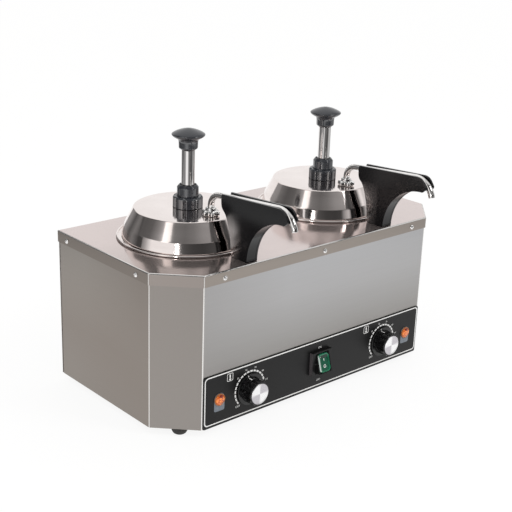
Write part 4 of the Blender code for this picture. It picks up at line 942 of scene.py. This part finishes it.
dial_black = surface("dial_black", {"Metallic": 0.0, "Specular IOR Level": 0.45}, mottled(
    1100.0, 2.0, (0.0035, 0.0035, 0.0038), (0.0060, 0.0060, 0.0064), 0.10, 0.06, (0.05, 0.0001)))
cap_alloy = surface("spun_cap", {"Metallic": 1.0}, paint_cap)
dial_mesh = turned(eased([
    (0, 17.6), (14.2, 17.6), (14.2, 19.1, 0.2), (16.0, 19.1, 0.8), (16.9, 9.0), (17.4, 2.9, 0.3),
    (21.5, 2.5, 0.7), (21.5, 0.5), (8.5, 0.5), (8.5, 3.5), (0, 3.5),
], 5), 144, waves=flute)
cap_mesh = turned(eased([
    (0, 20.0), (12.2, 20.0), (12.7, 20.3, 0.2), (14.0, 20.3, 0.5), (14.0, 17.8), (0, 17.8),
]))
at = [out_of_panel(knob) for knob in both("temperature_knob")]
in_each_unit("dial", dial_mesh, dial_black, "dial", at, "temperature_knob", 38)
in_each_unit("dial_cap", cap_mesh, cap_alloy, "dial", at, "knob_cap")
in_each_unit("dial_pointer", pointer_mesh(), white_print, "dial", at)


# Mains switch: a rocker that turns on a steel pin in a black snap-in housing. Its window is
# moulded in clear green plastic, with a raised rim round a sunk floor that carries the marks.
PIVOT = Vector((0, PANEL_FACE - 0.005, 0.0495))
TILT = 16.5
on_rocker = Matrix.Translation(PIVOT) @ turn_by(90 - TILT, "X")
WINDOW_FACE = 6.1
FLOOR_LEVEL, MARK_LEVEL = -1.0, -0.9
FRAME_TALLER = 1.10
ROCKER_TALLER, ROCKER_WIDER = 0.18, 0.03
ROCKER_REACH = 5.5 * MM
GLASSY = {"Metallic": 0.0, "Specular IOR Level": 0.35, "Coat Weight": 0.25, "Coat Roughness": 0.05}


def flanks(wire, scale, inside, outside, level, upright):
    """1 on the sides of a moulding that face left or right, and 0 near its middle plane."""
    x, _, _ = wire.places().split()
    across, _, _ = wire.facing()
    far = (abs(x) * scale).ramp((inside, 0.0), (outside, 1.0))
    return abs(across).ramp((level, 0.0), (upright, 1.0)) * far


def paint_moulding(wire):
    """Black, with the frame's upright sides painted greyer as painted light."""
    skin = wire.places().noise(1300.0, 2.0)
    black = skin.ramp((0.3, (0.006, 0.006, 0.006)), (0.7, (0.012, 0.012, 0.012)))
    return {
        # Painted light: the frame's left and right sides are painted grey.
        "Base Color": flanks(wire, 20, 0.32, 0.34, 0.70, 0.95).mix(black, (0.095, 0.085, 0.090)),
        "Roughness": skin * 0.15 + 0.28,
        "Normal": skin.bump(0.12, 0.0001),
    }


def paint_green(wire):
    """Clear green plastic. Its two upright flanks are polished and shine the most."""
    depth = wire.places().noise(160.0, 2.0)
    return {
        "Base Color": depth.ramp((0.3, (0.002, 0.120, 0.056)), (0.7, (0.006, 0.200, 0.098))),
        "Roughness": depth * 0.08 + 0.08,
        "Coat Weight": flanks(wire, 50, 0.38, 0.415, 0.40, 0.65) * 0.9 + 0.06,
    }


def fuller_frame(spot):
    """The flange in front of the panel, a little taller."""
    if spot.y > PANEL_FACE + 1e-6:
        return spot
    return Vector((spot.x, spot.y, PIVOT.z + (spot.z - PIVOT.z) * FRAME_TALLER))


def fuller_rocker(spot):
    """The rocker in front of its pivot, taller and wider towards its face."""
    local = on_rocker.inverted() @ spot
    if local.z > 0:
        local.y *= 1 + ROCKER_TALLER * local.z / ROCKER_REACH
        local.x *= 1 + ROCKER_WIDER * local.z / ROCKER_REACH
    return on_rocker @ local


def in_window(level, *outline):
    """These points, in millimetres, this far out from the window's face."""
    return [Vector((x, y, WINDOW_FACE + level)) * MM for x, y in outline]


def slope_mesh():
    """The step above the floor, painted dark green as painted shade: an open sheet over four rows
    of points.
    """
    work = bmesh.new()
    rows = []
    for y, half, level in ((10.6, 6.0, 0.1), (9.8, 6.9, 0.05), (6.9, 6.9, -0.35), (6.3, 6.9, -1.1)):
        rows.append([work.verts.new(spot) for spot in in_window(level, (-half, y), (half, y))])
    for (a, b), (c, d) in zip(rows, rows[1:]):
        work.faces.new((a, b, d, c))
    return mesh_of(work)


switch_black = surface("switch_black", DARK_PLASTIC, paint_moulding)
green = surface("window_green", {**GLASSY, "Coat IOR": 6.0}, paint_green)
deep_green = surface("window_well", GLASSY, mottled(
    160.0, 2.0, (0.002, 0.078, 0.040), (0.004, 0.110, 0.058), 0.10, 0.08))
# Painted shade: the step above the window's floor is painted much darker than the floor.
painted_shade_green = surface("window_shade", GLASSY, mottled(
    160.0, 2.0, (0.001, 0.016, 0.010), (0.001, 0.026, 0.016), 0.16, 0.08))
eased_sheet(
    "switch_frame", "switch_housing", switch_black, 0.0006, reshape=fuller_frame,
)
eased_sheet(
    "rocker_block", "switch_rocker", switch_black, 0.0004, "rocker", fuller_rocker,
)
dress(screw_steel, "rocker_pin")
window_mesh = skinned([
    in_window(-1.8, (0, 0)),
    in_window(-1.8, *ring_outline(20.0, 25.6, 4.4)),
    in_window(-1.7, *ring_outline(20.4, 26.2, 4.9)),
    in_window(0.4, *ring_outline(17.8, 24.8, 4.6)),
    in_window(0.6, *ring_outline(17.0, 24.0, 4.3)),
    in_window(0.3, *ring_outline(14.6, 21.8, 3.2)),
    in_window(-0.1, *ring_outline(14.0, 21.2, 3.0)),
    in_window(-1.1, *ring_outline(13.6, 20.8, 2.9)),
    in_window(-1.1, (0, 0)),
])
floor = ring_outline(13.8, 21.0, 2.9)
floor_mesh = skinned([in_window(FLOOR_LEVEL, *floor), in_window(FLOOR_LEVEL, (0, 0))])
bar = ring_outline(1.0, 3.4, 0.3, 0, 4.1)
on_mark = skinned([in_window(MARK_LEVEL, *bar), in_window(MARK_LEVEL, (0, 4.1))])
circles = [arc((0, -4.9), radius, 0, 345, 23) for radius in (2.25, 1.5)]
off_mark = skinned([in_window(MARK_LEVEL, *circle) for circle in circles])
finished(
    "switch_window", window_mesh, green, "rocker", ["rocker_lens"], on_rocker, 40,
)
finished("window_floor", floor_mesh, deep_green, "rocker", place=on_rocker)
finished("window_slope", slope_mesh(), painted_shade_green, "rocker", place=on_rocker)
finished("window_marks", joined([on_mark, off_mark]), white_print, "rocker", place=on_rocker)


# Jars: pressed stainless, polished, with a rolled rim that rests on the deck. Each hangs by
# that rim in its well, and lifts straight out.
def paint_spun(wire):
    """Polished steel with the faint rings of the spinning lathe."""
    _, _, z = wire.places().split()
    rings = (wire.places().stretched(1, 1, 0).length() + z * 1.35).tracks(1500, 3.0)
    patches = wire.places().stretched(24, 24, 90).noise(1.0, 3.0)
    tone = patches.ramp((0.3, (0.80, 0.725, 0.700)), (0.7, (0.88, 0.805, 0.778)))
    return {
        "Base Color": (rings * 0.10).mix(tone, (0.45, 0.44, 0.43)),
        "Roughness": patches * 0.07 + 0.055,
        "Normal": rings.bump(0.10, 0.00005),
    }


polished = surface("polished_spun", STEEL, paint_spun)
jar_mesh = turned([
    *eased([(0, 69.2), (78.8, 69.2, 7), (78.8, 218.3, 1.0), (90.9, 218.3)], 6),
    *arc((92.15, 218.65), 1.35, 205, -90, 12),
    *eased([(80.0, 217.3, 0.6), (80.0, 68.0, 8), (0, 68.0)], 6),
], 128)
in_unit = [upright_at(jar) for jar in both("jar")]
in_each_unit("food_jar", jar_mesh, polished, "jar", in_unit, "jar")


# Lids: spun stainless in two steps, a steep wall and a cone up to a flat top, mirror polished.
# Each stands on the rim of its jar, and its top has a hole for the pump.
lid_mesh = turned(eased([
    (15.9, 257.0), (70.9, 257.0, 1.5), (83.2, 233.3, 1.6), (86.3, 220.4, 0.8), (86.6, 218.7),
    (85.4, 218.7), (85.1, 220.8, 0.6), (82.0, 233.1, 1.2), (70.1, 255.8, 1.2), (15.9, 255.8),
]), 160, closed=True)
in_each_unit("spun_lid", lid_mesh, polished, "lid", in_unit, "lid")


# Pump tops: a lobed nut clamps the pump to the lid, and a bush above it guides the rod. Both
# are moulded in slate black with a satin gloss, like the valve body at the foot of the pump.
RAMP_SPAN = 0.4
GROOVED_FROM = 17.5
GROOVE_PITCH = 45
GROOVE_REACH = 8
GROOVE_DEPTH = 2.0
NUT_TURNS = (40, 22.5)


def paint_slate(wire):
    """Upright faces are the most polished, and mirror the lid below them in streaks."""
    skin = wire.places().noise(150.0, 2.0)
    broad = wire.places().noise(35.0, 2.0)
    _, _, rise = wire.facing()
    _, _, z = wire.places().split()
    upright = abs(rise).ramp((0.15, 1.0), (0.60, 0.0))
    on_nut = (z / RAMP_SPAN).ramp((0.677, 1.0), (0.683, 0.0))
    return {
        "Base Color": broad.ramp((0.3, (0.019, 0.021, 0.027)), (0.7, (0.031, 0.034, 0.042))),
        "Roughness": skin * 0.08 + 0.16,
        "Coat Weight": upright * (on_nut * 0.40 + 0.45) + 0.12,
        "Normal": skin.bump(0.02, 0.0001),
    }


def grooves(angle, radius, height):
    """Eight finger grooves down the outside of the nut."""
    half = GROOVE_PITCH / 2
    off = abs((math.degrees(angle) + half) % GROOVE_PITCH - half)
    if radius < GROOVED_FROM or off > GROOVE_REACH:
        return 0
    return -GROOVE_DEPTH * (0.5 + 0.5 * math.cos(math.pi * off / GROOVE_REACH))


SLATE = {"Metallic": 0.0, "Specular IOR Level": 0.40, "Coat IOR": 2.4, "Coat Roughness": 0.06}
slate = surface("pump_slate", SLATE, paint_slate)
nut_mesh = turned(eased([
    (15.8, 257.3), (19.75, 257.3, 0.5), (19.75, 270.2, 0.8), (18.4, 272.0, 0.5), (14.6, 272.0),
    (14.6, 270), (15.8, 270),
]), 360, closed=True, waves=grooves)
bush_mesh = turned(eased([
    (9.05, 258.0), (12.2, 258.0), (12.2, 270.0), (14.25, 270.0), (14.25, 283.6, 0.4),
    (11.65, 287.0, 0.5), (10.9, 287.0, 0.3), (9.2, 284.2), (9.05, 280.0),
]), closed=True)
nut_at = [at @ turn_by(degrees, "Z") for at, degrees in zip(in_unit, NUT_TURNS)]
in_each_unit("clamp_nut", nut_mesh, slate, "lid", nut_at, "lock_nut", 30)
in_each_unit("rod_bush", bush_mesh, slate, "lid", in_unit, "guide_collar")
dress(inner_steel, *both("pump_cylinder"), *both("riser_tube"))
dress(slate, *both("pump_foot"))


# Plungers: a polished rod under a moulded mushroom handle, with a nylon piston at its foot. The
# coil spring of stainless wire inside the pump is pressed together by each stroke.
SPRING_LOW, SPRING_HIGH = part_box("return_spring_left")
SPRING_WIRE = 1.1 * MM
SPRING_TURNS = 8
SPRING_STEPS, SPRING_SIDES = 28, 10


def paint_rod(wire):
    """Ground and polished along its length."""
    lines = wire.places().stretched(900, 900, 6).noise(1.0, 2.0)
    return {
        "Base Color": lines.ramp((0.3, (0.80, 0.775, 0.765)), (0.7, (0.93, 0.905, 0.895))),
        "Roughness": lines * 0.04 + 0.03,
        "Normal": lines.bump(0.04, 0.00004),
    }


def ring_round(centre, first, second, radius, sides):
    """Points round the line of a wire or a tube, in the plane of two directions."""
    turns = [math.tau * i / sides for i in range(sides)]
    return [centre + radius * (math.cos(turn) * first + math.sin(turn) * second) for turn in turns]


def capped(rings):
    """A mesh over rings, closed at both ends."""
    first, last = ([sum(ring, Vector()) / len(ring)] for ring in (rings[0], rings[-1]))
    return skinned([first, *rings, last])


def spring_mesh():
    """Round wire in eight turns, of which the first and the last lie closed."""
    coil_radius = (SPRING_HIGH.x - SPRING_LOW.x) / 2 - SPRING_WIRE
    rise = SPRING_HIGH.z - SPRING_LOW.z - 4 * SPRING_WIRE
    total = SPRING_TURNS * SPRING_STEPS
    up = Vector((0, 0, 1))
    rings = []
    for i in range(total + 1):
        angle = math.tau * i / SPRING_STEPS
        along = i / total
        lead = min(max((along - 1 / SPRING_TURNS) / (1 - 2 / SPRING_TURNS), 0), 1)
        height = SPRING_LOW.z + SPRING_WIRE * (1 + 2 * along) + rise * lead
        outwards = Vector((math.cos(angle), math.sin(angle), 0))
        centre = coil_radius * outwards + height * up
        rings.append(ring_round(centre, outwards, up, SPRING_WIRE, SPRING_SIDES))
    return capped(rings)


rod_steel = surface("rod_steel", STEEL, paint_rod)
nylon = surface("natural_nylon", PLASTIC, mottled(
    90.0, 2.0, (0.56, 0.54, 0.48), (0.68, 0.66, 0.60), 0.36, 0.1))
rod_mesh = turned(eased([
    (0, 209.3), (8.75, 209.3, 0.5), (8.75, 332.7, 0.3), (5.0, 332.7), (5.0, 344.7), (0, 344.7),
]))
handle_mesh = turned(eased([
    (0, 361.2), (1.6, 361.1), (6.0, 360.4), (11.0, 359.1), (15.5, 357.4), (19.0, 355.7),
    (21.2, 354.2), (21.85, 353.2, 0.4), (21.5, 352.1), (20.2, 350.7), (17.6, 349.0),
    (14.8, 347.6), (13.5, 346.4), (12.9, 344.8), (12.6, 342.6), (12.4, 335.6, 0.9),
    (9.2, 333.0, 0.5), (5.3, 333.0), (5.3, 345.0), (0, 345.0),
]))
in_each_unit("pump_rod", rod_mesh, rod_steel, "plunger", in_unit, "plunger_rod")
in_each_unit(
    "pump_handle", handle_mesh, slate, "plunger", in_unit, "plunger_knob", 45)
springs = in_each_unit(
    "coil_spring", spring_mesh(), screw_steel, "plunger", in_unit, "return_spring")
for side, spring in zip(SIDES, springs):
    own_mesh(spring)
dress(nylon, *both("piston"))


# Hand nuts: bright lobed nuts that clamp the foot of each spout to the riser. They are of
# chromed metal, and are turned by hand to take the spout off.
LOBES = 6
LOBE_RISE = 1.7
LOBED_FROM = 7.4


def grip(angle, radius, height):
    """Rounded lobes round the hand nut, which fade in from its collar."""
    if radius < LOBED_FROM:
        return 0
    return LOBE_RISE * math.cos(LOBES * angle) * min(1.0, (radius - LOBED_FROM) / 2)


chrome = surface("bright_chrome", STEEL, mottled(
    120.0, 3.0, (0.72, 0.71, 0.70), (0.88, 0.87, 0.86), 0.03, 0.06))
union_mesh = turned(eased([
    (6.4, 257.4), (9.4, 257.4, 0.5), (10.3, 258.6, 0.5), (10.3, 262.2, 0.7), (8.9, 263.4, 0.6),
    (7.2, 263.7, 0.5), (6.9, 266.8, 0.6), (5.9, 267.9, 0.4), (4.6, 267.9), (4.6, 264.0),
    (6.4, 263.0),
]), 120, closed=True, waves=grip)
at = [upright_at(nut) for nut in both("union_nut")]
in_each_unit("hand_nut", union_mesh, chrome, "union", at, "union_nut", 45)


# Spouts: polished tube, bent up out of the hand nut, along over the lid and down at the tip.
# The cut end has an eased rim and is open.
TUBE_RADIUS = 4.25
TUBE_BORE, BORE_DEPTH = 3.3, 6.0
RIM_OUTER, RIM_INNER, RIM_RISE = 3.95, 3.75, 0.15
TUBE_SLOPE = 5.1
TUBE_DROP = 75
TUBE_FORWARD = 48.2
TUBE_RUN = 110.2
TUBE_FOOT, STRAIGHT_TOP, REAR_BEND_Z = 240.0, 262.0, 269.5
REAR_BEND, TIP_BEND = 17.5, 28
TIP_STRAIGHT = 0.7
BEND_STEPS, TUBE_SIDES = 16, 32


def spout_path():
    """Distance forward of the pump's axis and height, in millimetres."""
    slope, drop = math.radians(TUBE_SLOPE), math.radians(TUBE_DROP)
    centre = (TUBE_FORWARD + REAR_BEND, REAR_BEND_Z)
    rear = arc(centre, REAR_BEND, 180, 90 + TUBE_SLOPE, BEND_STEPS)
    upright = [(TUBE_FORWARD, height) for height in (TUBE_FOOT, STRAIGHT_TOP)]
    path = [Vector(spot) for spot in (*upright, *rear)]
    run = Vector((math.cos(slope), math.sin(slope)))
    start = path[-1]
    path += [start + run * TUBE_RUN * share for share in (0.25, 0.5, 0.75, 1.0)]
    centre = path[-1] + TIP_BEND * Vector((run.y, -run.x))
    tip = arc(centre, TIP_BEND, 90 + TUBE_SLOPE, 90 - TUBE_DROP, BEND_STEPS)
    path += [Vector(spot) for spot in tip[1:]]
    path.append(path[-1] + TIP_STRAIGHT * Vector((math.cos(drop), -math.sin(drop))))
    return path


def spout_mesh():
    """The tube along its path, with an eased rim at the tip and the mouth of its bore."""
    path = spout_path()
    last = len(path) - 1

    def ring(i, radius, along=0.0):
        run = (path[min(i + 1, last)] - path[max(i - 1, 0)]).normalized()
        spot = (path[i] + run * along) * MM
        centre, upright = Vector((0, -spot.x, spot.y)), Vector((0, run.y, run.x))
        return ring_round(centre, upright, Vector((1, 0, 0)), radius * MM, TUBE_SIDES)

    return capped([
        *(ring(i, TUBE_RADIUS) for i in range(last)),
        ring(last, RIM_OUTER), ring(last, RIM_INNER, RIM_RISE),
        ring(last, TUBE_BORE), ring(last, TUBE_BORE, -BORE_DEPTH),
    ])


tube_steel = surface("tube_steel", STEEL, mottled(
    180.0, 3.0, (0.76, 0.74, 0.725), (0.90, 0.88, 0.865), 0.04, 0.05, (0.03, 0.0001)))
in_each_unit("bent_spout", spout_mesh(), tube_steel, "lid", in_unit, "spout_tube")


# Shrouds: a gloss black moulding of two cheeks joined by a curved web, with an arch open to
# the front. Two ribs between the cheeks make the saddle that each spout lies in.
SHROUD_LOW, SHROUD_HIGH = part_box("spout_shroud_left")
HALF_WIDTH = (SHROUD_HIGH.x - SHROUD_LOW.x) / 2 / MM
CHEEK, WEB, FLOOR = 2.75, 2.8, 2.5
RIB_SIZE = (1.6, 6, 9.0)
RIB_ASIDE, RIB_FORWARD, RIB_Z = 5.1, 160, 279.5
CHEEK_EASE, WEB_EASE = 0.45, 0.1
FOOT_Z = SHROUD_LOW.z / MM
FOOT_REAR = 100.0
FOOT_FRONT = 129.5
ARCH = 64.3
ARCH_MIDDLE = (FOOT_FRONT + ARCH, FOOT_Z)
ARCH_STEPS = 28
TOP_REAR = (78.5, 293.5)
TOP_FRONT = (190.5, 301.3)
NOSE = (200.5, 287.0)
REAR_SHAPE = ((0.0, 0.0), (0.34, 0.16), (0.647, 0.535), (0.79, 0.95), (1.0, 1.0))
GLOSS_BLACK = {
    "Metallic": 0.0, "Specular IOR Level": 0.36, "Coat IOR": 3.6, "Coat Roughness": 0.14,
}


def paint_shroud(wire):
    """Gloss black. The cheeks are polished brightest along their rear edge, beside the lid."""
    skin = wire.places().noise(500.0, 2.0)
    _, y, z = wire.places().split()
    behind = ((y * -1 - 0.096) / 0.03).ramp((0.0, 1.0), (0.25, 0.85), (0.75, 0.0))
    below = (z / RAMP_SPAN).ramp((0.63, 1.0), (0.69, 0.0))
    return {
        "Base Color": skin.ramp((0.3, (0.0035, 0.0035, 0.0042)), (0.7, (0.0060, 0.0060, 0.0072))),
        "Roughness": skin * 0.05 + 0.15,
        "Coat Weight": behind * below * 0.95,
        "Normal": wire.places().noise(90.0, 2.0).bump(0.02, 0.0001),
    }


def sweep(points, steps=6):
    """A smooth line through these points."""
    made = []
    for i in range(len(points) - 1):
        before = points[max(i - 1, 0)]
        after = points[min(i + 2, len(points) - 1)]
        start, end = points[i], points[i + 1]
        for step in range(steps):
            t = step / steps
            made.append(0.5 * (
                2 * start + (end - before) * t + (2 * before - 5 * start + 4 * end - after) * t * t
                + (3 * start - before - 3 * end + after) * t * t * t
            ))
    made.append(points[-1])
    return made


def cheek_outline():
    """From the foot up the arch to the nose, back along the top and down the rear edge."""
    lean, rise = FOOT_REAR - TOP_REAR[0], TOP_REAR[1] - FOOT_Z
    rear = sweep([Vector((FOOT_REAR - back * lean, FOOT_Z + up * rise)) for up, back in REAR_SHAPE])
    arch = arc(ARCH_MIDDLE, ARCH, 180, 90, ARCH_STEPS)
    top = eased([arch[-1], (*NOSE, 3.6), (*TOP_FRONT, 9.0), (*TOP_REAR, 1.2)], 8)
    return [*arch, *top[1:], *rear[:-2][::-1]]


def slab(outline, thickness, ease, across=0.0):
    """A flat moulding with rounded rims, stood on edge in the unit. Its outline goes forward
    along -Y and up, and across is the place of its middle along X, all in millimetres."""
    work = bmesh.new()
    low = [work.verts.new((spot[0] * MM, spot[1] * MM, -thickness / 2 * MM)) for spot in outline]
    grown = bmesh.ops.extrude_face_region(work, geom=[work.faces.new(low)])["geom"]
    high = [part for part in grown if isinstance(part, bmesh.types.BMVert)]
    bmesh.ops.translate(work, vec=(0, 0, thickness * MM), verts=high)
    bmesh.ops.recalc_face_normals(work, faces=work.faces)
    rims = [e for e in work.edges if abs(e.verts[0].co.z - e.verts[1].co.z) < 1e-7]
    eased_edges(work, rims, ease * MM, 3)
    stand = Matrix(((0, 0, -1, across * MM), (-1, 0, 0, 0), (0, 1, 0, 0), (0, 0, 0, 1)))
    return shifted(mesh_of(work), stand)


def shroud_mesh():
    """Two cheeks, the web behind the arch, the floor of the foot, and the saddle's ribs."""
    cheek = cheek_outline()
    web = [
        *arc(ARCH_MIDDLE, ARCH + WEB, 177.8, 97.0, ARCH_STEPS),
        *arc(ARCH_MIDDLE, ARCH + 0.25, 92.5, 179.9, ARCH_STEPS),
    ]
    floor = [
        (FOOT_REAR, FOOT_Z), (FOOT_FRONT + 0.2, FOOT_Z),
        (FOOT_FRONT + 0.2, FOOT_Z + FLOOR), (FOOT_REAR - 0.4, FOOT_Z + FLOOR),
    ]
    between = 2 * HALF_WIDTH - 1.2 * CHEEK
    work = bmesh.new()
    for part in (
        slab(cheek, CHEEK, CHEEK_EASE, HALF_WIDTH - CHEEK / 2),
        slab(cheek, CHEEK, CHEEK_EASE, CHEEK / 2 - HALF_WIDTH),
        slab(web, between, WEB_EASE),
        slab(floor, between, WEB_EASE),
    ):
        work.from_mesh(part)
    for sign in (-1, 1):
        add_block(work, RIB_SIZE, (sign * RIB_ASIDE, -RIB_FORWARD, RIB_Z))
    return mesh_of(work)


shroud_black = surface("shroud_gloss", GLOSS_BLACK, paint_shroud)
in_each_unit(
    "spout_guard", shroud_mesh(), shroud_black, "lid", in_unit, "spout_shroud", 35)


# Inside the cabinet: thermostats of brown moulding with steel shafts, heating elements in a
# metal sheath, and a nylon terminal block. They keep the shapes of their solids.
phenolic = surface("brown_moulding", PLASTIC, mottled(
    400.0, 3.0, (0.035, 0.020, 0.013), (0.060, 0.036, 0.024), 0.5, 0.2))
sheath = surface("element_sheath", STEEL, mottled(
    250.0, 3.0, (0.13, 0.115, 0.10), (0.26, 0.23, 0.20), 0.38, 0.2, (0.2, 0.0002)))
dress(phenolic, *both("thermostat"))
dress(screw_steel, *both("thermostat_shaft"))
dress(sheath, *both("heating_element"))
dress(nylon, "terminal_block")
